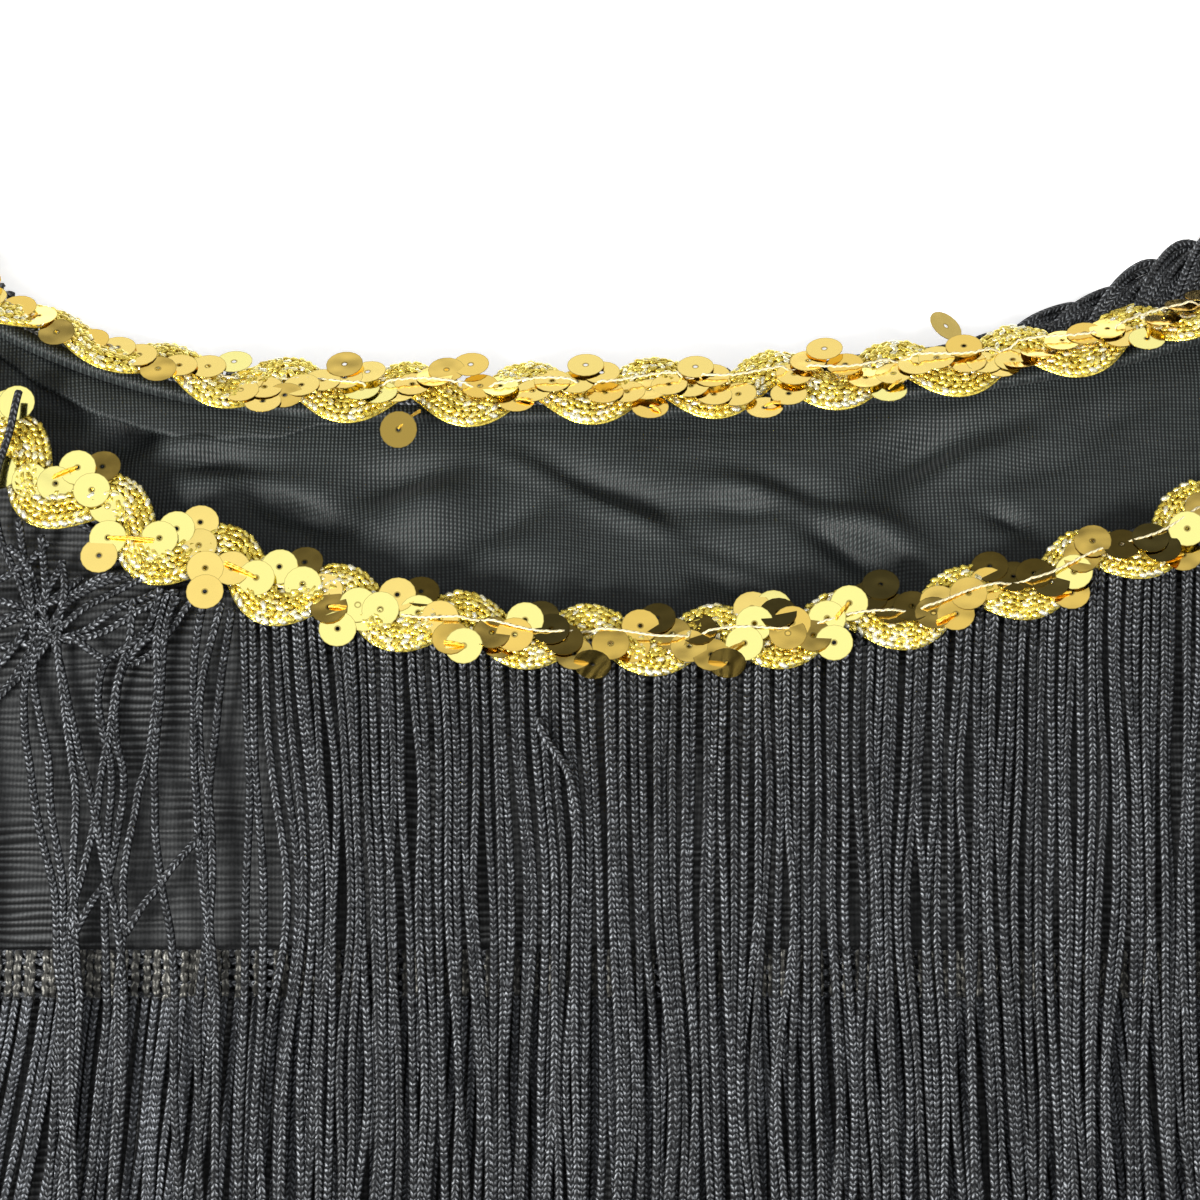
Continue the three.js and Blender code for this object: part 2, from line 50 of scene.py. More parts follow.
# The lay: heights of the back's underside, its roll at the neck edge, and the front's lift off the back.
lay = {"under": 4.35, "shoulderUnder": 1.85, "shoulderReach": 200.0, "rollRise": 1.5, "rollReach": 18.0,
       "crown": 2.3}
backNeckCut = {"half": 122.0, "drop": 60.3, "bow": 2.32, "power": 0.285, "skew": -0.055}
frontNeckCut = {"half": 135.0, "drop": 102.3, "bow": 1.88, "power": 0.43, "skew": -0.015}
rowNames = ["chest", "waist", "hip", "hem"]
top = dressCut["top"]


def clamp01(t):
    return np.clip(t, 0.0, 1.0)


def smooth(t):
    t = clamp01(t)
    return t * t * (3 - 2 * t)


def mix(a, b, t):
    return a + (b - a) * t


def easedTable(rows, at):  # rows are (place, value), eased from one to the next
    at = np.asarray(at, float)
    value = np.full(at.shape, float(rows[0][1]))
    for (a, va), (b, vb) in zip(rows, rows[1:]):
        value = np.where(at > a, mix(va, vb, smooth((at - a) / (b - a))), value)
    return value


def halfWidth(below):
    return easedTable(dressCut["sides"], below)


def neckBelow(x, cut):
    fall = (1 - clamp01(np.abs(x) / cut["half"]) ** cut["bow"]) ** cut["power"]
    return fall * (cut["drop"] + cut["skew"] * x)


def frontNeck(x):
    return neckBelow(x, frontNeckCut)


def backNeck(x):
    return neckBelow(x, backNeckCut)


def armholeBelow(x):
    inward = (dressCut["underarmHalf"] - np.abs(x)) / (dressCut["underarmHalf"] - dressCut["shoulderEnd"])
    fall = (1 - clamp01(inward) ** dressCut["armholePower"]) ** (1 / dressCut["armholePower"])
    return mix(dressCut["shoulderSlope"], dressCut["underarmBelow"], fall)


def armholeX(below):
    start = dressCut["shoulderSlope"]
    fall = clamp01((below - start) / (dressCut["underarmBelow"] - start))
    inward = (1 - fall ** dressCut["armholePower"]) ** (1 / dressCut["armholePower"])
    return dressCut["underarmHalf"] - inward * (dressCut["underarmHalf"] - dressCut["shoulderEnd"])


def topBelow(x, cut):
    side = np.abs(x)
    slope = dressCut["shoulderSlope"] * (side - cut["half"]) / (dressCut["shoulderEnd"] - cut["half"])
    onShoulder = np.where(side <= dressCut["shoulderEnd"], slope, armholeBelow(x))
    return np.where(side <= cut["half"], neckBelow(x, cut), onShoulder)


def ridgeSum(rows, x, below):  # soft ridges and troughs: x, below, angle, length, width, height
    total = 0.0
    for rx, rb, angle, length, width, height in rows:
        turn = math.radians(angle)
        dx, dy = x - rx, rb - below
        along = (dx * math.cos(turn) + dy * math.sin(turn)) / length
        across = (dy * math.cos(turn) - dx * math.sin(turn)) / width
        total = total + height * np.exp(-along ** 2 - across ** 2)
    return total


# Ridges of the back's inside in the neck window, as in its solid.
windowRidges = [
    (-62, 72, -24, 20, 6, 1.6), (-28, 86, -30, 22, 7, 1.5), (-33, 73, 40, 12, 5, 1.3),
    (8, 74, -24, 20, 5, 1.4), (28, 87, -32, 18, 6, 1.5), (56, 70, 30, 17, 6, 1.5), (72, 60, 12, 14, 6, 1.2),
]
frontFolds = [(-135, 0.04, 60, 1.1), (-20, -0.03, 70, 1.0), (110, 0.05, 64, 1.2)]


def backUnder(x, y):
    below = top - y
    fromEdge = below - backNeck(x)
    across = 1 - clamp01(np.abs(x) / backNeckCut["half"]) ** 2
    rest = mix(lay["under"], lay["shoulderUnder"], (1 - clamp01(below / lay["shoulderReach"])) ** 2)
    roll = lay["rollRise"] * np.exp(-(fromEdge / lay["rollReach"]) ** 2) * across
    window = smooth((frontNeck(x) - below - 4) / 10) * smooth((fromEdge - 12) / 8) * across
    return rest + roll + window * ridgeSum(windowRidges, x, below)


def backTop(x, y):
    return backUnder(x, y) + dressCut["wall"]


def frontUnder(x, y):
    below = top - y
    across = 1 - clamp01(np.abs(x) / halfWidth(below)) ** 2
    along = clamp01(below / dressCut["hemBelow"])
    lift = lay["crown"]
    for foldX, lean, width, height in frontFolds:
        lift = lift + height * np.exp(-((x - foldX - lean * below) / width) ** 2)
    return backTop(x, y) + dressCut["gap"] + lift * across * 4 * along * (1 - along)


def frontRise(x, y):  # where what is sewn on the front lies
    return frontUnder(x, y) + dressCut["wall"] + dressCut["gap"]


class NeckPath:  # a neck edge measured from its middle
    def __init__(self, cut, clear=5.0, steps=720):
        x = -cut["half"] * np.cos(np.arange(steps + 1) / steps * math.pi)
        drop = neckBelow(x, cut)
        self.x, self.y = x[drop >= clear], top - drop[drop >= clear]
        length = np.concatenate([[0], np.cumsum(np.hypot(np.diff(self.x), np.diff(self.y)))])
        self.s = length - np.interp(0, self.x, length)
        tx, ty = np.gradient(self.x, self.s), np.gradient(self.y, self.s)
        size = np.hypot(tx, ty)
        self.tx, self.ty = tx / size, ty / size
        self.start, self.end = self.s[0], self.s[-1]

    def beside(self, s, offset):  # a positive offset goes into the cloth
        tx, ty = np.interp(s, self.s, self.tx), np.interp(s, self.s, self.ty)
        return np.interp(s, self.s, self.x) + ty * offset, np.interp(s, self.s, self.y) - tx * offset


frontPath, backPath = NeckPath(frontNeckCut), NeckPath(backNeckCut)
turnedTilts = [(0, 27), (70, 27), (100, 44), (120, 30), (140, 12)]  # of the turned edge, in degrees
# Where the braid lies: in from the front neck edge, and along and above the back's turned edge.
frontTrimInset = 4.0
backTrimSeat = (3.2, 2.8)


def onTurnedEdge(s, along, lift):
    tilt = np.radians(easedTable(turnedTilts, np.abs(s)))
    x, y = backPath.beside(s, 0.1)
    out = 0.1 + along * np.cos(tilt) - lift * np.sin(tilt)
    z = backTop(x, y) + 0.5 + along * np.sin(tilt) + lift * np.cos(tilt)
    px, py = backPath.beside(s, out)
    return np.stack(np.broadcast_arrays(px, py, z), -1)


def onFrontHeading(s, across, lift):
    inset = frontTrimInset + across
    x, y = frontPath.beside(s, np.maximum(inset, 0.8))
    z = frontRise(x, y) + dressCut["headingThick"] + dressCut["gap"] + lift
    px, py = frontPath.beside(s, inset)
    return np.stack(np.broadcast_arrays(px, py, z), -1)


def onBackHeading(s, across, lift):
    along, above = backTrimSeat
    return onTurnedEdge(s, along + across, above + lift)


class Drift:  # smooth seeded noise over two numbers, from -1 to 1
    def __init__(self, seed):
        self.grid = np.random.default_rng(seed).uniform(-1, 1, (64, 64))

    def __call__(self, u, v):
        u, v = np.broadcast_arrays(np.asarray(u, float), np.asarray(v, float))
        iu, iv = np.floor(u).astype(int), np.floor(v).astype(int)
        fu, fv = smooth(u - iu), smooth(v - iv)
        pick = lambda a, b: self.grid[a % 64, b % 64]
        near = mix(pick(iu, iv), pick(iu + 1, iv), fu)
        return mix(near, mix(pick(iu, iv + 1), pick(iu + 1, iv + 1), fu), fv)


def addMesh(name, points, edges, faces):  # points are in millimetres
    mesh = bpy.data.meshes.new(name)
    mesh.from_pydata((np.asarray(points).reshape(-1, 3) * mm).tolist(), edges, faces)
    mesh.update()
    obj = bpy.data.objects.new(name, mesh)
    bpy.context.scene.collection.objects.link(obj)
    return obj


def shadeSmooth(obj):
    obj.data.polygons.foreach_set("use_smooth", np.ones(len(obj.data.polygons), bool))
    obj.data.update()


def addNode(tree, kind, inputs=None, **settings):
    node = tree.nodes.new(kind)
    for key, value in settings.items():
        setattr(node, key, value)
    for socket, value in (inputs or {}).items():
        plug(tree, node, socket, value)
    return node


def plug(tree, target, socket, value):  # a socket takes a link or a plain value
    if isinstance(value, Value):
        value = value.socket
    if isinstance(value, bpy.types.NodeSocket):
        tree.links.new(value, target.inputs[socket])
    else:
        target.inputs[socket].default_value = value


class Value:  # a node's number, that sums are built on with Math nodes
    def __init__(self, tree, socket):
        self.tree, self.socket = tree, socket

    def calc(self, operation, *others):
        inputs = dict(enumerate((self, *others)))
        return Value(self.tree, addNode(self.tree, "ShaderNodeMath", inputs, operation=operation).outputs[0])

    def __add__(self, other):
        return self.calc("ADD", other)

    def __sub__(self, other):
        return self.calc("SUBTRACT", other)

    def __mul__(self, other):
        return self.calc("MULTIPLY", other)

    def __truediv__(self, other):
        return self.calc("DIVIDE", other)

    def __pow__(self, other):
        return self.calc("POWER", other)


def growTree(name, inputs):
    tree = bpy.data.node_groups.new(name, "GeometryNodeTree")
    tree.interface.new_socket("Geometry", in_out="INPUT", socket_type="NodeSocketGeometry")
    for label, kind in inputs:
        tree.interface.new_socket(label, in_out="INPUT", socket_type="NodeSocket" + kind)
    tree.interface.new_socket("Geometry", in_out="OUTPUT", socket_type="NodeSocketGeometry")
    return tree, addNode(tree, "NodeGroupInput").outputs


def finishTree(tree, shape, finish):
    real = addNode(tree, "GeometryNodeRealizeInstances", {0: shape})
    done = addNode(tree, "GeometryNodeSetMaterial", {"Geometry": real.outputs[0], "Material": finish})
    addNode(tree, "NodeGroupOutput", {0: done.outputs[0]})
    return tree


def named(tree, name, kind):  # a named value of the mesh that the tree runs on
    node = addNode(tree, "GeometryNodeInputNamedAttribute", {"Name": name}, data_type=kind)
    return node.outputs["Attribute"]


def standOnPoints(tree, given, shape):  # a copy of the shape on each point, turned by its "up" and "way"
    up, way = (named(tree, name, "FLOAT_VECTOR") for name in ("up", "way"))
    turn = addNode(tree, "FunctionNodeAxesToRotation", {"Primary Axis": up, "Secondary Axis": way},
                   primary_axis="Z", secondary_axis="X")
    stand = addNode(tree, "GeometryNodeInstanceOnPoints", {
        "Points": given["Geometry"], "Instance": shape, "Rotation": turn.outputs[0]})
    return finishTree(tree, stand.outputs[0], given["Gold"])


def grow(obj, tree, values):  # runs the tree on the object and keeps the plain mesh it makes
    maker = obj.modifiers.new(tree.name, "NODES")
    maker.node_group = tree
    for item in tree.interface.items_tree:
        if item.in_out == "INPUT" and item.name in values:
            maker[item.identifier] = values[item.name]
    depsgraph = bpy.context.evaluated_depsgraph_get()
    made = bpy.data.meshes.new_from_object(obj.evaluated_get(depsgraph), preserve_all_data_layers=True,
                                           depsgraph=depsgraph)
    obj.modifiers.remove(maker)
    obj.data = made
    shadeSmooth(obj)
    return obj


def newMaterial(name, fixed):
    material = bpy.data.materials.new(name)
    material.use_nodes = True
    tree = material.node_tree
    shader = tree.nodes["Principled BSDF"]
    for socket, value in fixed.items():
        shader.inputs[socket].default_value = value
    return material, tree, shader


def splitAxes(tree, vector):
    node = addNode(tree, "ShaderNodeSeparateXYZ", {0: vector})
    return [Value(tree, axis) for axis in node.outputs]


def objectPlace(tree):
    return addNode(tree, "ShaderNodeTexCoord").outputs["Object"]


def attribute(tree, name, output="Fac"):
    return Value(tree, addNode(tree, "ShaderNodeAttribute", attribute_name=name).outputs[output])


def mapped(value, low, high, toLow=0.0, toHigh=1.0, kind="SMOOTHSTEP"):
    inputs = dict(enumerate((value, low, high, toLow, toHigh)))
    node = addNode(value.tree, "ShaderNodeMapRange", inputs, interpolation_type=kind)
    return Value(value.tree, node.outputs[0])


def wave(phase):  # 0 to 1, once for each whole number
    return (phase * (2 * math.pi)).calc("SINE") * 0.5 + 0.5


def noise(tree, place, scale, detail=2.0, roughness=0.5):
    inputs = {"Vector": place, "Scale": scale, "Detail": detail, "Roughness": roughness}
    return Value(tree, addNode(tree, "ShaderNodeTexNoise", inputs).outputs["Fac"])


def blendColour(factor, first, second):
    inputs = {0: factor, 6: first, 7: second}
    return addNode(factor.tree, "ShaderNodeMix", inputs, data_type="RGBA").outputs[2]


def addBump(shader, height, distance, strength=1.0):
    inputs = {"Height": height, "Distance": distance, "Strength": strength}
    plug(height.tree, shader, "Normal", addNode(height.tree, "ShaderNodeBump", inputs).outputs["Normal"])


def ridden(obj, replaced=None):  # the declarations that every piece has
    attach(obj, "root")
    if replaced:
        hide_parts(replaced)
    return obj


def setFinish(obj, material):
    obj.data.materials.clear()
    obj.data.materials.append(material)


print("stage: camera, floor and lights")

view = {
    "target": (-10.4, 288.1, 10.0), "elevation": 65.8, "distance": 900.0,  # millimetres and degrees
    "pixelsPerMm": 6.31, "imagePixels": 1200, "sensor": 36.0,
    "floorColour": (0.97, 0.97, 0.97, 1), "floorSize": 6000.0, "floorGlow": 0.5,
}
lamps = {  # places in metres
    "keyLamp": {"place": (-0.84, -0.66, 0.84), "aim": (0, 0.28, 0), "size": 0.42, "power": 50.0,
                "tone": (1, 0.98, 0.95)},
    "fillLamp": {"place": (1.1, -0.5, 1.2), "aim": (0, 0.2, 0), "size": 0.7, "power": 3.0,
                 "tone": (0.95, 0.97, 1.0)},
}
# The far wall's brightness by the sine of the height above the horizon: it is dark between two pale bands.
farWall = [(-1.0, 1.0), (0.27, 0.95), (0.42, 0.24), (0.60, 0.09), (0.71, 0.17), (0.82, 0.92), (0.93, 1.06)]
farWallEdge = 0.24
plainRoom = 0.6


def setCamera():
    data = bpy.data.cameras.new("photoCamera")
    camera = bpy.data.objects.new("photoCamera", data)
    bpy.context.scene.collection.objects.link(camera)
    tilt = math.radians(view["elevation"])
    x, y, z = (v * mm for v in view["target"])
    away = view["distance"] * mm
    camera.location = (x, y - away * math.cos(tilt), z + away * math.sin(tilt))
    camera.rotation_euler = (math.pi / 2 - tilt, 0, 0)
    data.sensor_width = view["sensor"]
    data.lens = view["sensor"] * view["pixelsPerMm"] * view["distance"] / view["imagePixels"]
    data.clip_start, data.clip_end = 0.01, 50
    bpy.context.scene.camera = camera


def addLamp(name, look):
    data = bpy.data.lights.new(name, "AREA")
    data.shape, data.size, data.size_y = "RECTANGLE", look["size"], look["size"]
    data.energy, data.color = look["power"], look["tone"]
    lamp = bpy.data.objects.new(name, data)
    bpy.context.scene.collection.objects.link(lamp)
    lamp.location = look["place"]
    x, y, z = np.array(look["aim"], float) - np.array(look["place"], float)
    lamp.rotation_euler = (math.atan2(math.hypot(x, y), -z), 0, math.atan2(-x, y))


def setRoom():
    world = bpy.data.worlds.new("softRoom")
    bpy.context.scene.world = world
    world.use_nodes = True
    tree = world.node_tree
    _, away, upward = splitAxes(tree, addNode(tree, "ShaderNodeTexCoord").outputs["Generated"])
    level = farWall[0][1]
    for (low, before), (high, after) in zip(farWall, farWall[1:]):
        level = mapped(upward, low, high, 0.0, after - before) + level
    level = mapped(away, 0.0, farWallEdge) * (level - plainRoom) + plainRoom
    plug(tree, tree.nodes["Background"], "Color", level)


def setStage():
    half = view["floorSize"] / 2
    corners = [(-half, -half, 0), (half, -half, 0), (half, half, 0), (-half, half, 0)]
    floor = addMesh("floor", corners, [], [(0, 1, 2, 3)])
    floor.data.materials.append(newMaterial("paleFloor", {
        "Base Color": view["floorColour"], "Roughness": 0.9, "Specular IOR Level": 0.1,
        "Emission Color": view["floorColour"], "Emission Strength": view["floorGlow"]})[0])
    for name, lamp in lamps.items():
        addLamp(name, lamp)
    setRoom()
    bpy.context.scene.view_settings.view_transform = "Standard"


setCamera()
setStage()

print("stage: cloth, yarn and gold finishes")

knitLooks = {
    "columnPitch": 0.64, "coursePitch": 0.59, "ribPitch": 1.30, "pull": 4.0,  # millimetres
    "dark": (0.0030, 0.0038, 0.0040, 1), "light": (0.067, 0.079, 0.078, 1),
    "ribDark": (0.003, 0.0032, 0.0034, 1), "ribLight": (0.105, 0.110, 0.113, 1), "bump": 0.00018,
    "pullScale": 26.0, "blotchScale": 70.0, "slubScale": 1500.0, "waverScale": 330.0,  # waves to the metre
    "apartScale": 58.0, "speckScale": 2400.0,
}


def knitMaterial(name, inside):
    look = knitLooks
    material, tree, shader = newMaterial(name, {
        "Sheen Weight": 0.05, "Sheen Roughness": 0.4, "Specular IOR Level": 0.22})
    place = objectPlace(tree)
    pull = (noise(tree, place, look["pullScale"]) - 0.5) * (look["pull"] * mm)
    x, y, _ = splitAxes(tree, place)
    x, y = x + pull, y + pull
    columns = wave(x / (look["columnPitch"] * mm))
    courses = wave(y / (look["coursePitch"] * mm))
    blotch = noise(tree, place, look["blotchScale"], 4.0, 0.6)
    drawn = lambda share: addNode(tree, "ShaderNodeMapping", {
        "Vector": place, "Scale": (share, 1, 1)}).outputs[0]  # drawn out along X
    if inside:
        # Some yarns are a little lighter or thicker.
        slub = noise(tree, drawn(0.12), look["slubScale"], 3.0, 0.6)
        height = (courses * 0.6 + 0.4) * columns
        tone = (height ** 1.3 + 0.07) * ((blotch * 0.9 + 0.45) * (slub * 1.1 + 0.35))
        colour = blendColour(tone, look["dark"], look["light"])
    else:
        waver = noise(tree, drawn(0.16), look["waverScale"], 1.0) * 1.5
        ribs = wave(y / (look["ribPitch"] * mm) + waver)
        height = columns * 0.25 + ribs
        # Where the knit is pulled its ribs stand apart, and elsewhere they nearly close.
        pulled = mapped(noise(tree, place, look["apartScale"], 1.0), 0.42, 0.60)
        shut = ribs * 0.22 + 0.22
        apart = ribs ** 2.4 * 0.72 + 0.04
        worn = columns * 0.3 + (noise(tree, place, look["speckScale"], 1.0) * 0.9 + 0.4)
        colour = blendColour((pulled * (apart - shut) + shut) * worn, look["ribDark"], look["ribLight"])
    plug(tree, shader, "Base Color", colour)
    plug(tree, shader, "Roughness", blotch * 0.16 + 0.40)
    addBump(shader, height, look["bump"], 0.8)
    return material


# The yarn's colour runs from its dark to its light colour, and the light end is painted highlight on the
# stitch legs and the brightest specks.
yarnLooks = {
    "stitch": 1.02, "lean": 0.6, "lightness": 1.0, "bump": 0.00026,
    "dark": (0.0014, 0.0015, 0.0018, 1), "light": (0.32, 0.34, 0.365, 1),
    "unevenScale": 640.0, "speckScale": 2500.0, "knotScale": 950.0,
}


def yarnMaterial(name, **changes):
    look = {**yarnLooks, **changes}
    lightness = look["lightness"]
    material, tree, shader = newMaterial(name, {
        "Roughness": 0.45, "Sheen Weight": 0.03, "Sheen Roughness": 0.4, "Specular IOR Level": 0.14})
    aside, along, batch = splitAxes(tree, attribute(tree, "strand", "Vector"))
    across = aside.calc("ABSOLUTE")
    # The two legs of each stitch lean to the middle, up in some strands and down in others.
    flip = batch.calc("GREATER_THAN", 0.45) * 2.0 - 1.0
    place = objectPlace(tree)
    uneven = noise(tree, place, look["unevenScale"], 1.0) * 1.1
    beat = along / (look["stitch"] * mm) + across * look["lean"] * flip + (batch + uneven)
    leg = wave(beat) * (wave(beat * 2.0) * 0.4 + 0.75)
    groove = (across * across * -16.0).calc("EXPONENT") * -1.0 + 1.0
    speck = noise(tree, place, look["speckScale"], 2.0, 0.7)
    height = leg * (groove * 0.7 + 0.3) * (speck * 1.2 + 0.35)
    patchy = noise(tree, place, look["knotScale"], 0.0) * 2.2 - 0.25
    # Painted highlight and shade: the colour follows the stitch's height, lighter on the legs and darker in
    # the middle groove and between stitches, and the brightest specks are lifted further as painted glints.
    tone = height ** 1.6 * patchy * (speck ** 2.2 * 3.3 + 0.12)
    dye = (batch * 7.31).calc("FRACT")
    tone = tone * (dye * (0.7 * lightness) + 0.65 * lightness)
    # Painted shade: the strands' sides, which face each other, are darkened in the colour where their normal
    # turns away from upward.
    upright = splitAxes(tree, addNode(tree, "ShaderNodeNewGeometry").outputs["Normal"])[2]
    tone = (tone * 0.82 + (0.025 + 0.2 * (lightness - 1))) * mapped(upright, 0.05, 0.75, 0.08)
    plug(tree, shader, "Base Color", blendColour(tone, look["dark"], look["light"]))
    addBump(shader, height, look["bump"])
    return material


goldLooks = {
    "deep": (0.36, 0.225, 0.010, 1), "yellow": (1.0, 0.82, 0.16, 1), "pale": (1.0, 0.98, 0.78, 1),
    # The disc colours paint each sequin kind's light and shade, from pale yellow on the bright ones to olive
    # on the dark ones.
    "discYellow": (1.0, 0.92, 0.32, 1), "discPeach": (0.97, 0.72, 0.20, 1), "discTan": (0.84, 0.54, 0.08, 1),
    # The rim colour is painted shade near each disc's hole and along its cut edge.
    "rim": (0.34, 0.25, 0.06, 1), "discShadeOlive": (0.46, 0.36, 0.11, 1),
    "foilScale": 1600.0, "foilBump": 0.00008, "scuffScale": 900.0, "discBump": 0.00013, "threadTwist": 1.1,
}


def lurexMaterial():
    look = goldLooks
    material, tree, shader = newMaterial("goldLurex", {"Metallic": 0.85})
    place = objectPlace(tree)
    foil = noise(tree, place, look["foilScale"], 3.0, 0.7)
    lively = attribute(tree, "shade") * 0.9 + (foil * 1.5 - 0.52)
    warm = blendColour(lively * 1.9, look["deep"], look["yellow"])
    plug(tree, shader, "Base Color", blendColour(mapped(lively, 0.54, 0.96), warm, look["pale"]))
    plug(tree, shader, "Roughness", foil * 0.26 + 0.12)
    addBump(shader, noise(tree, place, 4200.0, 1.0), look["foilBump"])
    return material


def discMaterial():
    look = goldLooks
    material, tree, shader = newMaterial("goldSequin", {"Metallic": 1.0})
    shade, inward = attribute(tree, "shade"), attribute(tree, "inward")
    # Painted shade: the foil darkens toward the rim colour near the hole and along the cut edge.
    holeShade, cutEdgeShade = mapped(inward, 0.89, 0.95), mapped(inward, 0.015, 0.06, 0.8, 0.0)
    # Painted highlight and shade: the foil is pale yellow on the kinds that mirror bright, and goes through
    # peach and tan to a dark olive on those that mirror dark.
    film = blendColour(shade * 2.0, look["discYellow"], look["discPeach"])
    film = blendColour(mapped(shade, 0.5, 1.0, kind="LINEAR"), film, look["discTan"])
    film = blendColour(mapped(shade, 0.86, 0.96, kind="LINEAR"), film, look["discShadeOlive"])
    film = blendColour(holeShade.calc("MAXIMUM", cutEdgeShade) * 0.75, film, look["rim"])
    plug(tree, shader, "Base Color", film)
    place = objectPlace(tree)
    plug(tree, shader, "Roughness", noise(tree, place, look["scuffScale"], 3.0, 0.6) * 0.10 + 0.06)
    addBump(shader, noise(tree, place, 200.0, 1.0), look["discBump"])
    return material


def threadMaterial(name, low, high):
    material, tree, shader = newMaterial(name, {"Roughness": 0.45})
    aside, along, _ = splitAxes(tree, attribute(tree, "strand", "Vector"))
    fibre = noise(tree, objectPlace(tree), 3000.0, 2.0)
    twist = wave(aside * 0.35 + along / (goldLooks["threadTwist"] * mm))
    plug(tree, shader, "Base Color", blendColour(twist * 0.6 + fibre * 0.5, low, high))
    addBump(shader, twist + fibre, 0.00012)
    return material


insideKnit, ribKnit = knitMaterial("insideKnit", True), knitMaterial("ribKnit", False)
yarn = yarnMaterial("blackChainette")
lowYarn = yarnMaterial("blackChainetteLow", lightness=1.2, light=(0.325, 0.347, 0.38, 1))
headingYarn = yarnMaterial("paleHeading", lightness=1.35, light=(0.37, 0.365, 0.33, 1), stitch=1.7, lean=0.2)
lurex, discGold = lurexMaterial(), discMaterial()
cream = threadMaterial("creamThread", (0.50, 0.40, 0.18, 1), (0.80, 0.74, 0.52, 1))
amber = threadMaterial("amberThread", (0.75, 0.36, 0.01, 1), (0.98, 0.66, 0.08, 1))

print("stage: the two panels")

# Finer creases over the solids' ridges: x, below, angle, length, width, height.
backCreases = [
    (-7.7, 77.9, -15, 11, 2.76, -1.95), (-6.4, 81.5, -28, 24, 1.8, 1.74), (6.2, 87.8, -24, 10, 2.04, -1.74),
    (-85.2, 66.9, 35, 7.5, 3.84, -2.61), (-75.4, 68.3, 17, 9, 2.88, 1.95), (-71.4, 72.5, -3, 8, 2.28, -2.17),
    (-58.7, 81.2, -23, 9, 2.04, -2.39), (-73, 76, 10, 7, 3.36, 1.95), (-43.2, 74.9, 29, 11, 3.6, -2.61),
    (-37.3, 70.5, 25, 9, 2.88, 1.74), (-38.1, 80.6, 35, 9, 3.84, 1.74), (-27, 84.1, 34, 8, 2.4, -1.95),
    (12.6, 80.3, -6, 6, 2.04, -1.74), (15.5, 77, -12, 7, 2.16, 1.08), (21.3, 77.4, -15, 9, 2.28, -1.95),
    (29.2, 87.6, -34, 8, 2.52, -3.25), (34.8, 84.6, -30, 8, 2.88, 1.95), (41.1, 70.2, 34, 13, 4.56, -3.04),
    (47.4, 72.5, 30, 11, 3.6, 1.74), (54.9, 82.4, -28, 4.2, 1.32, -1.74), (56.2, 73.9, 15, 11, 2.64, -1.08),
    (57.7, 63.3, 43, 7, 2.4, -1.08), (70, 66, 40, 9, 2.64, -0.87), (-96, 61.5, -15, 8, 3.36, -1.95),
    (10.5, 94, -22, 6, 1.8, -1.52), (-20, 70, -40, 9, 3.12, -1.08), (0, 66, -8, 14, 2.88, 0.87),
]
frontCreases = [
    (-160, 120, 62, 42, 9, 1.1), (165, 130, -58, 44, 9, 1.1), (-120, 205, 78, 60, 11, 0.8),
    (135, 240, -80, 66, 12, 0.9), (-60, 330, 86, 80, 12, 0.8), (40, 420, -84, 90, 12, 0.8),
    (-150, 520, 80, 90, 14, 0.9), (120, 600, -82, 90, 14, 0.9),
]
shellSizes = {
    "thick": 0.9, "sink": 0.15, "armSteps": 20, "strapSteps": 10, "nearReach": 76.0,
    "backCreased": 1.35, "frontCreased": 0.35,
    # Steps along the neck, rows near it and rows below.
    "backGrid": (204, 68, 24), "frontGrid": (120, 28, 46),
}


def shellColumns(half, neckSteps):
    swing = np.arange(shellSizes["armSteps"]) / shellSizes["armSteps"] * math.pi / 2
    arm = -mix(dressCut["underarmHalf"], dressCut["shoulderEnd"], np.sin(swing) ** 1.5)
    strap = np.linspace(-dressCut["shoulderEnd"], -half, shellSizes["strapSteps"])[:-1]
    neck = -half * np.cos(np.arange(neckSteps + 1) / neckSteps * math.pi)
    return np.concatenate([arm, strap, neck, -strap[::-1], -arm[::-1]])


def clothShell(name, cut, under, creases, grid):
    neckSteps, nearRows, farRows = grid
    columns = shellColumns(cut["half"], neckSteps)
    start = topBelow(columns, cut)[:, None]
    near = np.linspace(0, shellSizes["nearReach"], nearRows)[None, :]
    far = (np.arange(1, farRows + 1) / farRows)[None, :] ** 1.1
    edge = start + shellSizes["nearReach"]
    below = np.concatenate([start + near, mix(edge, dressCut["hemBelow"], far)], 1)
    x = columns[:, None] * halfWidth(below) / dressCut["underarmHalf"]
    z = under(x, top - below) + shellSizes["sink"] + creases(x, below)
    low = np.stack([x, top - below, z], -1)
    high = low + np.array([0, 0, shellSizes["thick"]])
    nc, nr = below.shape
    lower = np.arange(nc * nr).reshape(nc, nr)
    upper = lower + nc * nr
    topFaces = np.stack([upper[:-1, :-1], upper[:-1, 1:], upper[1:, 1:], upper[1:, :-1]], -1).reshape(-1, 4)
    lowFaces = np.stack([lower[:-1, :-1], lower[1:, :-1], lower[1:, 1:], lower[:-1, 1:]], -1).reshape(-1, 4)
    walls = []
    for a, b in ((lower[:, 0], upper[:, 0]), (upper[:, -1], lower[:, -1]), (upper[0], lower[0]),
                 (lower[-1], upper[-1])):
        walls.append(np.stack([a[:-1], b[:-1], b[1:], a[1:]], -1))
    faces = np.concatenate([topFaces, lowFaces] + walls)
    obj = addMesh(name, np.concatenate([low.reshape(-1, 3), high.reshape(-1, 3)]), [], faces.tolist())
    shadeSmooth(obj)
    return obj


def backCreaseHeight(x, below):
    window = smooth((frontNeck(x) - below + 4) / 6) * smooth((below - backNeck(x) - 6) / 8)
    return shellSizes["backCreased"] * window * ridgeSum(backCreases, x, below)


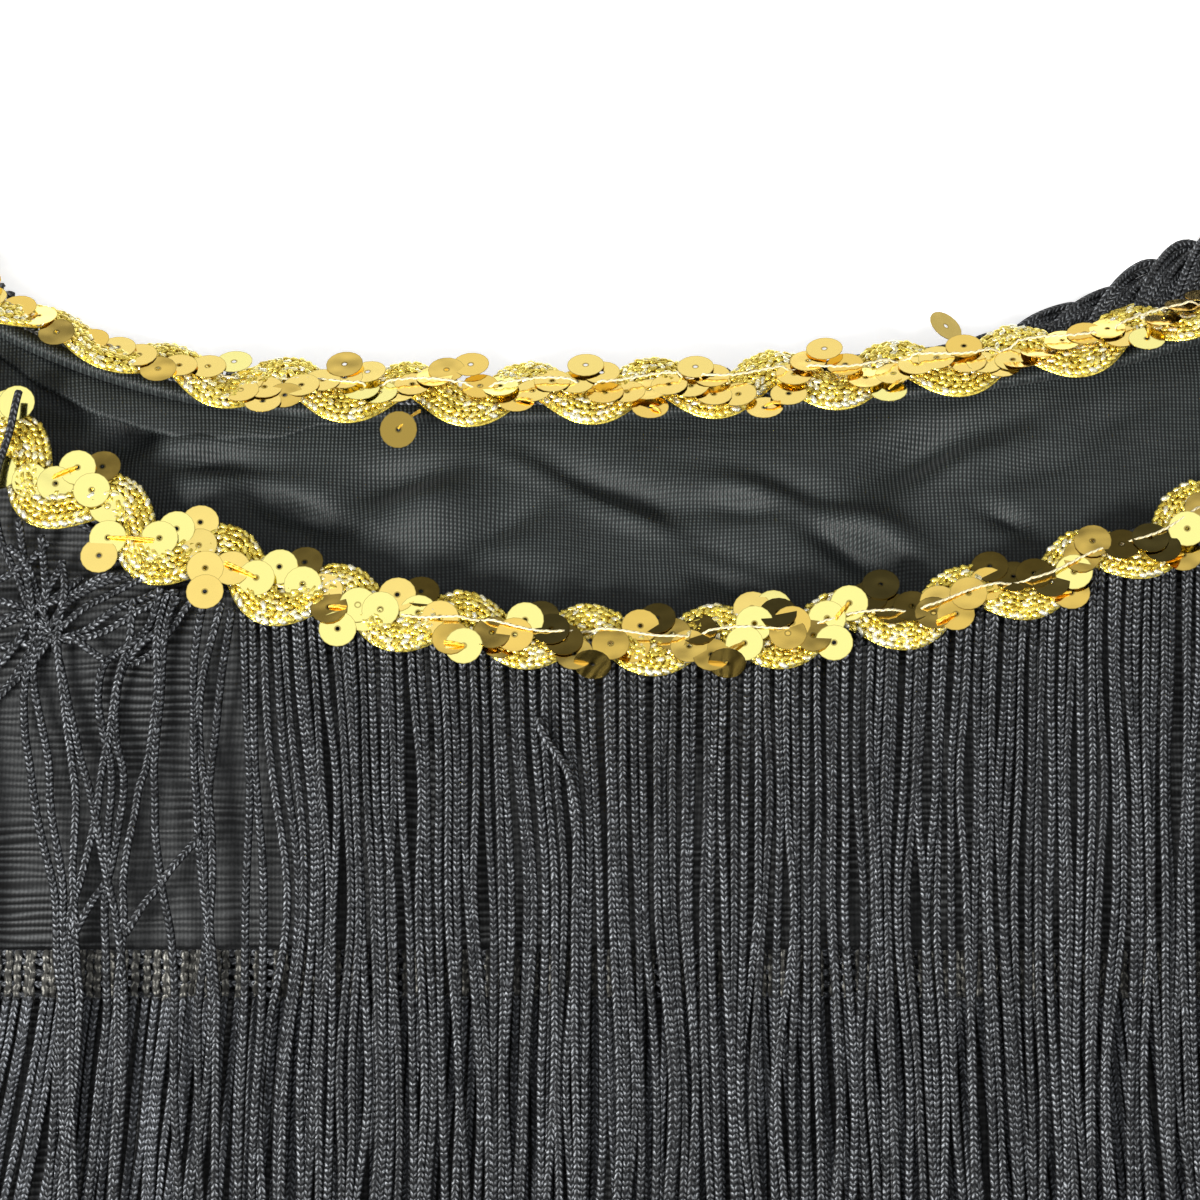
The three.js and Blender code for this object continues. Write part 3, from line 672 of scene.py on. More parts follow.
def frontCreaseHeight(x, below):
    inside = smooth((below - frontNeck(x) - 14) / 20) * smooth((dressCut["hemBelow"] - below) / 60)
    return shellSizes["frontCreased"] * inside * ridgeSum(frontCreases, x, below)


backCloth = clothShell("back_cloth", backNeckCut, backUnder, backCreaseHeight, shellSizes["backGrid"])
setFinish(backCloth, insideKnit)
frontCloth = clothShell("front_cloth", frontNeckCut, frontUnder, frontCreaseHeight,
                        shellSizes["frontGrid"])
setFinish(frontCloth, ribKnit)

print("stage: fringe")

strandSizes = {"width": 1.3, "thick": 1.0, "sides": 6, "tip": 0.45, "uneven": 0.16, "slub": 0.08}
goldenShare = 0.6180339  # gives neighbouring strands unlike batches


def strandTree():
    tree, given = growTree("chainetteStrands", [
        ("Width", "Float"), ("Thickness", "Float"), ("Sides", "Int"), ("Yarn", "Material")])
    lines = addNode(tree, "GeometryNodeMeshToCurve", {"Mesh": given["Geometry"]})
    upright = addNode(tree, "GeometryNodeSetCurveNormal", {"Curve": lines.outputs[0]}, mode="Z_UP")
    radius = addNode(tree, "GeometryNodeSetCurveRadius", {
        "Curve": upright.outputs[0], "Radius": named(tree, "thin", "FLOAT")})
    held = addNode(tree, "GeometryNodeCaptureAttribute", domain="POINT")
    held.capture_items.new("FLOAT", "along")
    plug(tree, held, 0, radius.outputs[0])
    plug(tree, held, 1, addNode(tree, "GeometryNodeSplineParameter").outputs["Length"])
    ring = addNode(tree, "GeometryNodeCurvePrimitiveCircle", {"Resolution": given["Sides"], "Radius": 1.0},
                   mode="RADIUS")
    side = addNode(tree, "GeometryNodeCaptureAttribute", domain="POINT")
    side.capture_items.new("FLOAT", "across")
    plug(tree, side, 0, ring.outputs[0])
    plug(tree, side, 1, splitAxes(tree, addNode(tree, "GeometryNodeInputPosition").outputs[0])[0])
    half = [Value(tree, given[name]) * 0.5 for name in ("Width", "Thickness")]
    size = addNode(tree, "ShaderNodeCombineXYZ", {0: half[0], 1: half[1], 2: 1.0})
    flat = addNode(tree, "GeometryNodeTransform", {"Geometry": side.outputs[0], "Scale": size.outputs[0]})
    skin = addNode(tree, "GeometryNodeCurveToMesh", {
        "Curve": held.outputs[0], "Profile Curve": flat.outputs[0], "Fill Caps": True})
    # The finish reads each point's place on its strand: across, along, and the strand's batch.
    mark = addNode(tree, "ShaderNodeCombineXYZ", {
        0: side.outputs[1], 1: held.outputs[1], 2: named(tree, "batch", "FLOAT")})
    store = addNode(tree, "GeometryNodeStoreNamedAttribute", {
        "Geometry": skin.outputs[0], "Name": "strand", "Value": mark.outputs[0]},
        data_type="FLOAT_VECTOR", domain="POINT")
    return finishTree(tree, store.outputs[0], given["Yarn"])


chainette = strandTree()


def strandLines(name, paths, thins=None):  # open lines, with each point's thinness and each line's batch
    counts = [len(p) for p in paths]
    points = np.concatenate(paths)
    starts = np.concatenate([[0], np.cumsum(counts)[:-1]])
    first = np.concatenate([np.arange(s, s + n - 1) for s, n in zip(starts, counts)])
    obj = addMesh(name, points, np.stack([first, first + 1], 1).tolist(), [])
    thin = np.ones(len(points))
    for s, n in zip(starts, counts):
        thin[s + n - 1] = strandSizes["tip"]
    if thins is not None:
        thin = thin * np.concatenate(thins)
    obj.data.attributes.new("thin", "FLOAT", "POINT").data.foreach_set("value", thin)
    batch = np.repeat((np.arange(len(paths)) * goldenShare) % 1.0, counts)
    obj.data.attributes.new("batch", "FLOAT", "POINT").data.foreach_set("value", batch)
    return obj


def faceOutwards(obj):
    shape = bmesh.new()
    shape.from_mesh(obj.data)
    bmesh.ops.recalc_face_normals(shape, faces=shape.faces)
    shape.to_mesh(obj.data)
    shape.free()


def growStrands(name, paths, thins=None, **sizes):
    values = {**strandSizes, **sizes}
    obj = strandLines(name, paths, thins)
    return grow(obj, chainette, {"Width": values["width"] * mm, "Thickness": values["thick"] * mm,
                                 "Sides": values["sides"], "Yarn": yarn})


def stepOver(below, following, ahead):  # how far a strand is lifted by the row that it crosses
    rise = dressCut["headingThick"] + 1.3 * dressCut["gap"]
    return rise * smooth((below - following + ahead) / (0.6 * ahead))


frontFringe = {
    "neckStrands": 228, "rowStrands": 256, "neckPoints": 31, "rowPoints": 17, "seed": 11, "jitter": 0.5,
    "clump": 1.5, "clumpPitch": 7.5, "clumpLength": 40.0, "sway": 1.0, "pair": 0.6, "pairPitch": 3.2,
    "pairLength": 70.0, "layer": 0.95, "lift": 0.5, "shorten": 4.0, "tipSpread": 0.93,
    "neckRoot": 2.4, "neckStrip": 1.15, "rowRoot": 8.2, "rowStrip": 0.3, "rowAhead": 36.0, "strayAhead": 42.0,
    "neckAhead": (12.0, 62.0),  # how far above the next row a strand starts to rise over it
    # The wearer's right side of the neck row is thin and tangled: its strands are placed one by one.
    "bareFrom": -68.5, "bareTo": -116.0, "bareKeep": 0.0,
}
# How far apart two neighbouring strands read a drift, and how long its waves are.
driftSteps = {"sway": 3.7, "swayLength": 26.0, "layer": 5.3, "layerLength": 17.0}


def rowBegin(row):
    return dressCut["firstRow"] + row * dressCut["rowStep"]


def rowEnd(below):
    half = np.where(below < dressCut["underarmBelow"], armholeX(below), halfWidth(below))
    return half - dressCut["sideMargin"]


def neckPlan(path, s, offset, length, t):  # a strand leaves the neck, turns down and spreads
    rootX, rootY = path.beside(s, offset)
    eased = 1 - (1 - np.minimum(1, t / 0.6)) ** 2
    return mix(rootX, s * frontFringe["tipSpread"], eased), rootY - length * t


def strandWidths(rng, points):
    whole = 1 + strandSizes["uneven"] * rng.uniform(-1, 1)
    return np.full(points, whole) * (1 + strandSizes["slub"] * rng.uniform(-1, 1, points))


def swayed(swing, i, y):
    return swing(i * driftSteps["sway"], y / driftSteps["swayLength"])


def layered(layer, i, y):  # 0 to 1, how high a strand lies among its neighbours
    return 0.5 + 0.5 * layer(i * driftSteps["layer"], y / driftSteps["layerLength"])


def combed(drifts, i, x, y, free):  # strands hang in clumps and pairs, and sway
    look = frontFringe
    clump, swing, pair = drifts
    x = x + free * look["clump"] * clump(x / look["clumpPitch"], y / look["clumpLength"])
    return x + free * look["sway"] * swayed(swing, i, y) + free * look["pair"] * pair(
        x / look["pairPitch"], y / look["pairLength"])


def frontNeckStrands():
    look = frontFringe
    rng = np.random.default_rng(look["seed"])
    drifts, layer = (Drift(21), Drift(22), Drift(25)), Drift(23)
    paths, widths = [], []
    spread = np.linspace(frontPath.start + 1, frontPath.end - 1, look["neckStrands"])
    t = np.linspace(0, 1, look["neckPoints"]) ** 1.15
    for i, s in enumerate(spread + look["jitter"] * rng.uniform(-1, 1, len(spread))):
        length = dressCut["strandLength"] - 2 - look["shorten"] * rng.random() ** 2
        rootX = float(frontPath.beside(s, look["neckRoot"])[0])
        bare = look["bareTo"] < rootX < look["bareFrom"]
        if bare and rng.random() > look["bareKeep"]:
            continue
        x, y = neckPlan(frontPath, s, look["neckRoot"], length, t)
        x = combed(drifts, i, x, y, smooth((t - 0.03) / 0.3))
        below = top - y
        ahead = np.clip(dressCut["firstRow"] - below[0] - 11, *look["neckAhead"])
        onStrip = look["neckStrip"] * (1 - smooth((t * length - 3.0) / 5.0))
        z = frontRise(x, y) + look["lift"] + onStrip + look["layer"] * layered(layer, i, y)
        z = z + stepOver(below, dressCut["firstRow"], ahead) * smooth(t * 6)
        paths.append(np.stack([x, y, z], -1))
        widths.append(strandWidths(rng, len(x)))
    return paths, widths


# Strands of the thin part, in order of laying: (x, below) points from the root. A strand that is marked True
# hangs on from its last point to its full length. The first lies over the trim.
strays = [
    ([(-103.6, 64), (-104.6, 70), (-106.2, 77), (-106.8, 84), (-105.2, 90), (-102.4, 96),
      (-99.6, 104)], False),
    ([(-103.1, 85), (-102, 91.9), (-100.6, 98.9), (-100.1, 105.9), (-101, 114.5), (-100.6, 121.5),
      (-99.5, 127.6), (-98.8, 131.9), (-97.6, 138), (-96, 144.1), (-94.7, 149.3), (-94.1, 154.5),
      (-93.8, 160.6), (-92.8, 166.7)], True),
    ([(-99.5, 87.6), (-98.7, 93.7), (-98.2, 99.2), (-99.1, 105.9), (-99.8, 110.7), (-99.3, 114.9),
      (-98.4, 118.9), (-97.4, 123.2), (-96.5, 127.6), (-96, 133.7), (-95.2, 138.9), (-94.1, 144.1),
      (-93.3, 149.3), (-93.1, 154.5), (-92.8, 160.6), (-91.9, 166.7)], True),
    ([(-96, 91.9), (-95.3, 97.2), (-96, 102.7), (-96, 107.6), (-95.2, 113.1), (-94.2, 119.8), (-93.3, 125),
      (-92.8, 128.1), (-92, 133.7), (-91.9, 140.6), (-92, 145.8), (-91.5, 151.9), (-90.9, 159.7),
      (-90, 166.7)], True),
    ([(-104.7, 89.3), (-101.5, 92.8), (-99.9, 97.2), (-98.4, 101.5), (-96.8, 105.9), (-95.5, 110.2),
      (-94.1, 116.3), (-92.8, 121.5), (-91.5, 127), (-90, 131.9), (-88.8, 137.1), (-87.7, 142.3),
      (-86.5, 147.6), (-85.2, 152.8), (-84.4, 157.1), (-83.8, 161.5), (-83.1, 168.4)], True),
    ([(-84.4, 98.9), (-84.7, 105.9), (-85.7, 110.2), (-86.8, 116.3), (-87.3, 122.4), (-88.1, 127.6),
      (-88.4, 131.9), (-88.7, 136.3), (-89.6, 142.3), (-90.7, 147.6), (-91.9, 152.8), (-92.3, 157.1),
      (-91.9, 162.3), (-91.2, 168.4)], True),
    ([(-80.1, 97.2), (-81.7, 103.2), (-84.4, 106.7), (-87.3, 108.5), (-89, 111.4), (-89.3, 116.3),
      (-88.4, 121.5), (-86.8, 127.6), (-86.5, 133.7), (-86.8, 139.7), (-86.6, 145.8), (-86.8, 151.9),
      (-86.3, 159.7), (-85.8, 168.4)], True),
    ([(-77.3, 98.6), (-80.1, 104.1), (-83.3, 107.2), (-85.5, 110.7), (-86.5, 116.3), (-86.2, 123.2),
      (-84.9, 128.4), (-84.6, 133.7), (-85.2, 138.9), (-85.7, 143.7), (-86.6, 147.6), (-88.8, 151.4),
      (-91.1, 156.2), (-92.2, 160.6), (-92.8, 166.7)], True),
    ([(-79.3, 97.2), (-80.4, 105.9), (-80.1, 112.8), (-80.4, 120.1), (-81.2, 127.6), (-82.2, 131.9),
      (-82.8, 137.1), (-83.6, 142.3), (-84.1, 147.6), (-83.8, 153.1), (-83.9, 158.8),
      (-84.3, 165.8)], True),
    ([(-77.6, 97.2), (-79.2, 105.9), (-79.5, 116.3), (-80, 127.6), (-79.7, 133.7), (-79.3, 140.6),
      (-78.5, 145.8), (-77.8, 150.2), (-76.5, 156.2), (-75.9, 161.5), (-75.4, 168.4)], True),
    ([(-73, 98), (-74.4, 109.3), (-74.1, 119.8), (-73.8, 127.6), (-73.2, 133.7), (-72.7, 140.6),
      (-71.9, 147.6), (-70.9, 154.5), (-70.3, 161.5), (-69.8, 168.4)], True),
    ([(-70.3, 99.8), (-72.5, 109.3), (-73.3, 118), (-72.8, 126.7), (-71.3, 133.7), (-70.6, 140.6),
      (-70.3, 147.6), (-70.5, 154.5), (-69.7, 161.5), (-69, 168.4)], True),
    ([(-68.7, 100.6), (-69.7, 109.3), (-70.5, 119.8), (-71.1, 128.4), (-71.4, 137.1), (-71.6, 145.8),
      (-70.8, 154.5), (-71.3, 161.5), (-71.9, 168.4)], True),
    ([(-72.5, 140.3), (-76.2, 145.5), (-78.5, 148.6), (-81.4, 153.1), (-83.5, 156.6)], False),
    ([(-86.5, 94.6), (-90.4, 95.4), (-95.2, 98.4), (-100.7, 101), (-105.5, 103.4), (-109.4, 105.9)], True),
    ([(-85.2, 94.6), (-91.9, 97.2), (-95, 99.9), (-97.6, 103.8), (-100.4, 107.9), (-103.6, 113.5),
      (-107.4, 117.7)], True),
    ([(-83.3, 95.4), (-89.5, 98.6), (-93.4, 101.7), (-96.6, 104.6), (-99.1, 108.6), (-102.3, 112.5),
      (-105.2, 115.8), (-108.7, 119.1)], True),
    ([(-80.1, 97.2), (-85.7, 99.9), (-90.4, 103.2), (-94.1, 105.2), (-97.6, 105.9), (-101.5, 106.4),
      (-106.3, 107.2), (-110.2, 109.3)], True),
    ([(-77.8, 97.2), (-83.3, 101), (-88.8, 104.3), (-92.8, 105.9), (-96, 105.3), (-99.1, 102.7),
      (-102.3, 99.9), (-107.1, 98.6), (-110.2, 98.9)], True),
    ([(-73.8, 98.9), (-75.9, 100.3), (-78.2, 104.1), (-80.6, 107.6), (-84.4, 110.2)], False),
    ([(-93.6, 105.9), (-90.9, 107.6), (-88.4, 109.7)], False),
    ([(-108.7, 96.3), (-104.7, 94.6), (-101.5, 92.5), (-98.4, 88.5)], False),
    ([(-109.4, 105.9), (-105.5, 102.7), (-101.4, 101), (-97.6, 99.2), (-92.8, 94.6)], False),
    ([(-96, 92.8), (-97.9, 97.2), (-100.7, 102.4), (-103.1, 107.6), (-107.9, 112.8)], True),
    ([(-19.9, 119.8), (-19.4, 122.4), (-15.8, 128.4), (-14, 136.3)], True),
]


def throughPoints(points, steps):  # a smooth line through given points
    points = np.asarray(points, float)
    padded = np.concatenate([[2 * points[0] - points[1]], points, [2 * points[-1] - points[-2]]])
    out = []
    for a, b, c, d in zip(padded, padded[1:], padded[2:], padded[3:]):
        for t in np.arange(steps) / steps:
            out.append(0.5 * (2 * b + (c - a) * t + (2 * a - 5 * b + 4 * c - d) * t ** 2
                              + (3 * b - 3 * c + d - a) * t ** 3))
    return np.array(out + [points[-1]])


strayLooks = {
    "hangPast": 56.0, "hangVary": 8.0, "leastHang": 20.0, "hangPoints": 18, "hangEase": 50.0,
    "bend": 2.6, "sway": 2.2, "swayLength": 28.0, "lift": 1.1, "over": 0.9, "overVary": 0.45,
    "settle": 0.6, "settleFrom": 12, "settleOver": 14,  # counted in points from the root
    "trimLift": 4.6, "trimEnd": 78.0, "trimSlope": 10.0,  # for the first, that lies over the trim
}


def strayStrands():
    look, sway = strayLooks, Drift(24)
    paths = []
    for k, (points, hangs) in enumerate(strays):
        line = throughPoints(points, 6)
        if hangs:
            x, below = line[-1]
            reach = rowBegin(0) + look["hangPast"] + look["hangVary"] * math.sin(k * 2.1)
            down = np.linspace(below, max(below + look["leastHang"], reach), look["hangPoints"])[1:]
            eased = smooth((down - below) / look["hangEase"])
            aside = look["bend"] * math.sin(k * 1.7)
            tail = x + eased * (aside + look["sway"] * sway(k * 3.1, down / look["swayLength"]))
            line = np.concatenate([line, np.stack([tail, down], -1)])
        x, below = line[:, 0], line[:, 1]
        at = np.arange(len(x))
        crossing = 1.0 - look["settle"] * smooth((at - look["settleFrom"]) / look["settleOver"])
        over = look["over"] + look["overVary"] * np.sin(at * 0.55 + k * 1.3)  # up and down among the others
        z = frontRise(x, top - below) + look["lift"] + crossing * over
        if k == 0:
            z = z + look["trimLift"] * (1 - smooth((below - look["trimEnd"]) / look["trimSlope"]))
        z = z + stepOver(below, dressCut["firstRow"], frontFringe["strayAhead"])
        paths.append(np.stack([x, top - below, z], -1))
    return paths


def frontRowStrands(row):
    look = frontFringe
    begin = rowBegin(row)
    rng = np.random.default_rng(look["seed"] + 1 + row)
    drifts, layer = (Drift(31 + row), Drift(41 + row), Drift(61 + row)), Drift(51 + row)
    end = float(rowEnd(begin))
    hem = top - dressCut["hemBelow"]
    t = np.linspace(0, 1, look["rowPoints"]) ** 1.1
    paths, widths = [], []
    roots = np.linspace(-end + 1.2, end - 1.2, look["rowStrands"])
    for i, root in enumerate(roots + look["jitter"] * rng.uniform(-1, 1, len(roots))):
        reach = begin + dressCut["strandLength"] - look["shorten"] * rng.random() ** 2
        below = mix(begin + look["rowRoot"], reach, t)
        spread = float(rowEnd(min(reach, dressCut["hemBelow"]))) / end
        y = top - below
        x = combed(drifts, i, root * mix(1, spread, t), y, smooth((t - 0.02) / 0.25))
        onStrip = look["rowStrip"] * (1 - smooth(t * dressCut["strandLength"] / 5.0))
        z = frontRise(x, np.maximum(y, hem)) + look["lift"] + onStrip + look["layer"] * layered(layer, i, y)
        if row + 1 < len(rowNames):
            z = z + stepOver(below, begin + dressCut["rowStep"], look["rowAhead"])
        paths.append(np.stack([x, y, z], -1))
        widths.append(strandWidths(rng, len(x)))
    return paths, widths


backFringe = {
    "rowStrands": 150, "rowPoints": 13, "rowSides": 4, "neckStrands": 150, "neckPoints": 14, "neckSides": 5,
    "seed": 71, "layer": 0.35, "sway": 1.1, "rowRoot": 4.0, "lift": 0.5,
}


def backRowStrands(row):
    look = backFringe
    begin = rowBegin(row)
    rng = np.random.default_rng(look["seed"] + row)
    swing, layer = Drift(81 + row), Drift(91 + row)
    end = float(rowEnd(begin))
    dropAt = 0.6 if row == 0 else 0.12  # where along a strand it comes down to the table
    held = float(backUnder(0.0, top - begin)) - dressCut["rowGap"] - dressCut["lockThick"]
    t = np.linspace(0, 1, look["rowPoints"])
    paths = []
    for i, root in enumerate(np.linspace(-end + 0.8, end - 0.8, look["rowStrands"])):
        reach = begin + dressCut["strandLength"] - frontFringe["shorten"] * rng.random() ** 2
        spread = float(rowEnd(min(reach, dressCut["hemBelow"]))) / end
        y = top - mix(begin + look["rowRoot"], reach, t)
        x = root * mix(1, spread, t) + smooth(t / 0.3) * look["sway"] * swayed(swing, i, y)
        lie = held * (1 - smooth((t - dropAt) / 0.12))
        paths.append(np.stack([x, y, lie + look["lift"] + look["layer"] * layered(layer, i, y)], -1))
    return paths


# The back neck's strands loop out over the turned edge and lie back under the dress.
backLoops = {
    "reach": [(-150, 3.0), (20, 3.0), (55, 4.4), (100, 15), (125, 15), (150, 6)], "most": 7.0, "uneven": 0.25,
    "lean": 5.0, "low": 0.75, "head": [(0, 2.0, 1.3), (0.05, 0.6, 1.4), (0.1, -1.5, 1.1), (0.25, -3.9, 0.7)],
}


def backNeckStrands():
    look, loops = backFringe, backLoops
    rng = np.random.default_rng(look["seed"] + 9)
    swing, layer = Drift(101), Drift(102)
    paths, low = [], loops["low"]
    t = np.linspace(0.03, 1, look["neckPoints"])
    for i, s in enumerate(np.linspace(backPath.start + 1, backPath.end - 1, look["neckStrands"])):
        reach = min(loops["most"], float(easedTable(loops["reach"], s)))
        loose = reach * (1 + loops["uneven"] * rng.uniform(-1, 1))
        lean = loops["lean"] * layer(i * 0.33, 0.4) + 1.5
        head = [onTurnedEdge(s + lean * part, along, lift) for part, along, lift in loops["head"]]
        crest = head[-1][2]
        bx, by = backPath.beside(s + lean * 0.6, -(loose - 0.6))
        cx, cy = backPath.beside(s + lean, -loose * 0.5)
        turn = [np.array([bx, by, 0.5 * (crest + low)]), np.array([cx, cy, low])]
        x, y = neckPlan(backPath, s + lean, 4.0, dressCut["strandLength"] - 16 - 4 * rng.random(), t)
        x = x + smooth(t / 0.3) * look["sway"] * swayed(swing, i, y)
        tail = np.stack([x, y, low + 0.5 * (layered(layer, i, y) - 0.5)], -1)
        bend = throughPoints(np.array(head + turn + [tail[0]]), 3)
        paths.append(np.concatenate([bend, tail[1:]]))
    return paths


# Where the wearer's left strap begins, the back's strands ride up over the edge in slack, overlapping arcs.
slackArcs = {
    "from": 26.0, "to": 142.0, "step": 7.6, "strands": 11, "pitch": 0.72, "span": 20.0, "seed": 29,
    "reach": [(44, 4.2), (56, 5.6), (68, 9.8), (78, 12.2), (88, 15.0), (120, 15.0), (146, 7.0)],
}


def arcShape(reach, crest, j):  # a strand's way over the edge: part of the span, reach and height
    low = 0.14 * (j % 3)
    return [(-0.25, -2.5, crest + 1.0), (-0.08, 0.20 * reach, crest + 1.4 - 0.1 * j),
            (0.18, 0.62 * reach, crest + 0.9 - 0.28 * j), (0.46, 0.94 * reach, crest * (0.72 - low)),
            (0.68, reach, crest * (0.52 - low)), (0.86, 0.80 * reach, 2.0), (0.97, 0.4 * reach, 1.2),
            (1.02, 0.1 * reach, 0.8)]


def slackStrands():
    look = slackArcs
    rng = np.random.default_rng(look["seed"])
    paths = []
    for k, begin in enumerate(np.arange(look["from"], look["to"], look["step"])):
        rise = 1.0 + 0.06 * math.sin(k * 2.3)
        for j in range(look["strands"]):
            s = begin + 0.9 * j + 0.4 * rng.uniform(-1, 1)
            reach = max(1.0, (float(easedTable(look["reach"], begin + 7)) - look["pitch"] * j) * rise)
            crest = float(onTurnedEdge(s, 0.0, 1.2)[2])
            line = []
            for part, out, z in arcShape(reach, crest, j):
                x, y = backPath.beside(s + part * look["span"], -out)
                line.append((float(x), float(y), max(0.7, z)))
            paths.append(throughPoints(line, 4))
    return paths


# The pale stitches of the heading, that each strand comes out of.
headingColumns = {"points": 14, "stitch": 1.86, "width": 1.35, "thick": 0.9, "sides": 5}


def frontRowColumns(row):
    look = headingColumns
    begin = rowBegin(row)
    end = float(rowEnd(begin))
    rng = np.random.default_rng(frontFringe["seed"] + 1 + row)  # the row's own roots
    roots = np.linspace(-end + 1.2, end - 1.2, frontFringe["rowStrands"])
    roots = roots + frontFringe["jitter"] * rng.uniform(-1, 1, len(roots))
    below = np.linspace(begin + 0.3, begin + 9.0, look["points"])
    beads = np.cos((below - begin - 0.9) / look["stitch"] * 2 * math.pi)
    y = top - below
    paths, thins = [], []
    for k, root in enumerate(roots):
        x = root + 0.12 * np.sin(below * 1.7 + k)
        paths.append(np.stack([x, y, frontRise(x, y) + 0.75 + 0.14 * beads], -1))
        thins.append(0.72 + 0.20 * beads)
    obj = growStrands("heading_front_%s" % rowNames[row], paths, thins, **look)
    setFinish(obj, headingYarn)
    return ridden(obj)


# Heading strips are an open braid of cords, at these distances from the strip's upper edge.
headingCords = {
    "frontRow": (0.5, 1.9, 3.75, 5.6, 7.5), "backRow": (0.8, 3.1, 5.4, 7.7),
    "frontNeck": (1.5, 3.2, 4.9, 6.6), "backNeck": (0.7, 2.2), "sideGap": 0.2,
}


def frontRowHeading(row):
    end = float(rowEnd(rowBegin(row))) - headingCords["sideGap"]
    x = np.linspace(-end, end, 150)
    cords = []
    for inset in headingCords["frontRow"]:
        y = np.full(x.shape, top - rowBegin(row) - inset)
        cords.append(np.stack([x, y, frontRise(x, y) + 0.42 + 0.12 * np.sin(x * 1.9 + inset)], -1))
    return cords


def backRowHeading(row):
    end = float(rowEnd(rowBegin(row))) - headingCords["sideGap"]
    x = np.linspace(-end, end, 120)
    cords = []
    for inset in headingCords["backRow"]:
        y = np.full(x.shape, top - rowBegin(row) - inset)
        cords.append(np.stack([x, y, backUnder(x, y) - dressCut["rowGap"] - 0.7], -1))
    return cords


def frontNeckHeading():
    s = np.linspace(frontPath.start, frontPath.end, 170)
    cords = []
    for inset in headingCords["frontNeck"]:
        x, y = frontPath.beside(s, inset)
        cords.append(np.stack([x, y, frontRise(x, y) + 0.5], -1))
    return cords


def backNeckHeading():
    s = np.linspace(backPath.start, backPath.end, 160)
    return [onTurnedEdge(s, along, 0.5) for along in headingCords["backNeck"]]


def fringeRow(side, name, strands, heading, widths=None, **sizes):
    paths = strands + heading
    if widths is not None:
        widths = widths + [np.ones(len(p)) for p in paths[len(widths):]]
    obj = growStrands("fringe_%s_%s_strands" % (side, name), paths, widths, **sizes)
    return ridden(obj, "fringe_%s_%s" % (side, name))


fringes = {"front": [], "back": []}
strands, widths = frontNeckStrands()
fringes["front"].append(fringeRow("front", "neck", strands + strayStrands(), frontNeckHeading(), widths))
for row, name in enumerate(rowNames):
    strands, widths = frontRowStrands(row)
    fringes["front"].append(fringeRow("front", name, strands, frontRowHeading(row), widths))
    fringes["front"][-1].data.materials[0] = lowYarn
    if row == 0:  # the others are hidden under the row above
        fringes["front"].append(frontRowColumns(row))
fringes["back"].append(fringeRow("back", "neck", backNeckStrands() + slackStrands(), backNeckHeading(),
                                 sides=backFringe["neckSides"]))
for row, name in enumerate(rowNames):
    fringes["back"].append(fringeRow("back", name, backRowStrands(row), backRowHeading(row),
                                     sides=backFringe["rowSides"]))

print("stage: the back neck's turned edge")

turnedEdge = {
    "flat": 4.2, "roll": [(4.9, -0.3), (5.2, -1.0), (4.9, -1.8), (4.2, -2.2)],
    # On the wearer's right the turned cloth lies slack on the back and reaches further in.
    "slackFrom": -150.0, "slackTo": -48.0,
    "slack": [(-150, 6.6), (-112, 6.6), (-98, 8.6), (-86, 10.8), (-74, 11.0), (-64, 9.4), (-54, 5.5),
              (-48, 4.0)],
    "slackThick": 1.3,
}


def edgeRing(s):  # the turned edge across, under the braid
    look = turnedEdge
    face = [(a, 0.0) for a in np.linspace(0, look["flat"], 5)] + look["roll"]
    ring = face + [(a - 0.45, lift - 0.55) for a, lift in face[::-1]]
    return np.stack([onTurnedEdge(s, along, lift + 0.45) for along, lift in ring], 1)


def slackRing(s):  # the slack part across, from under the braid to its free edge
    look = turnedEdge
    inset = easedTable(look["slack"], s) + 0.22 * np.sin(s * 0.31) + 0.10 * np.sin(s * 0.83 + 1)
    profile = [(0.25, 0.1), (0.45, 0.9), (0.62, 1.15), (0.8, 0.95), (0.93, 1.0), (0.98, 0.85), (1.0, 0.5),
               (0.98, 0.1), (0.9, 0.0), (0.6, 0.0)]
    fade = 0.35 + 0.65 * smooth((look["slackTo"] - s) / 28)
    points = []
    for part, rise in profile:
        x, y = backPath.beside(s, inset * part)
        points.append(np.stack([x, y, backTop(x, y) + look["slackThick"] * (rise * fade - 0.15)], -1))
    return np.stack(points, 1)


def tubeOf(name, points):  # a closed skin over rings of points, its ends capped
    n, m = points.shape[:2]
    index = np.arange(n * m).reshape(n, m)
    turned = np.roll(index, -1, 1)
    faces = np.stack([index[:-1], index[1:], turned[1:], turned[:-1]], -1).reshape(-1, 4).tolist()
    faces += [index[0].tolist(), index[-1][::-1].tolist()]
    obj = addMesh(name, points, [], faces)
    faceOutwards(obj)
    shadeSmooth(obj)
    return obj


# The knit folded up inside the neck, under the braid, and its slack part.
edgePlaces = np.linspace(backPath.start, backPath.end, 320)
slackPlaces = np.linspace(turnedEdge["slackFrom"], turnedEdge["slackTo"], 180)
for piece in (tubeOf("turned_edge", edgeRing(edgePlaces)), tubeOf("turned_slack", slackRing(slackPlaces))):
    setFinish(piece, insideKnit)
    ridden(piece)

print("stage: wave braid")

braidLooks = {
    "repeat": 19.7, "swing": 3.3, "half": 3.8, "rows": 7, "grainLength": 2.05, "grainWidth": 1.16,
    "grainThick": 0.9, "spacing": 1.32, "lean": 27.0, "dome": 0.9, "seed": 5,
    "innerRoom": 0.72, "crowded": 0.5,
}
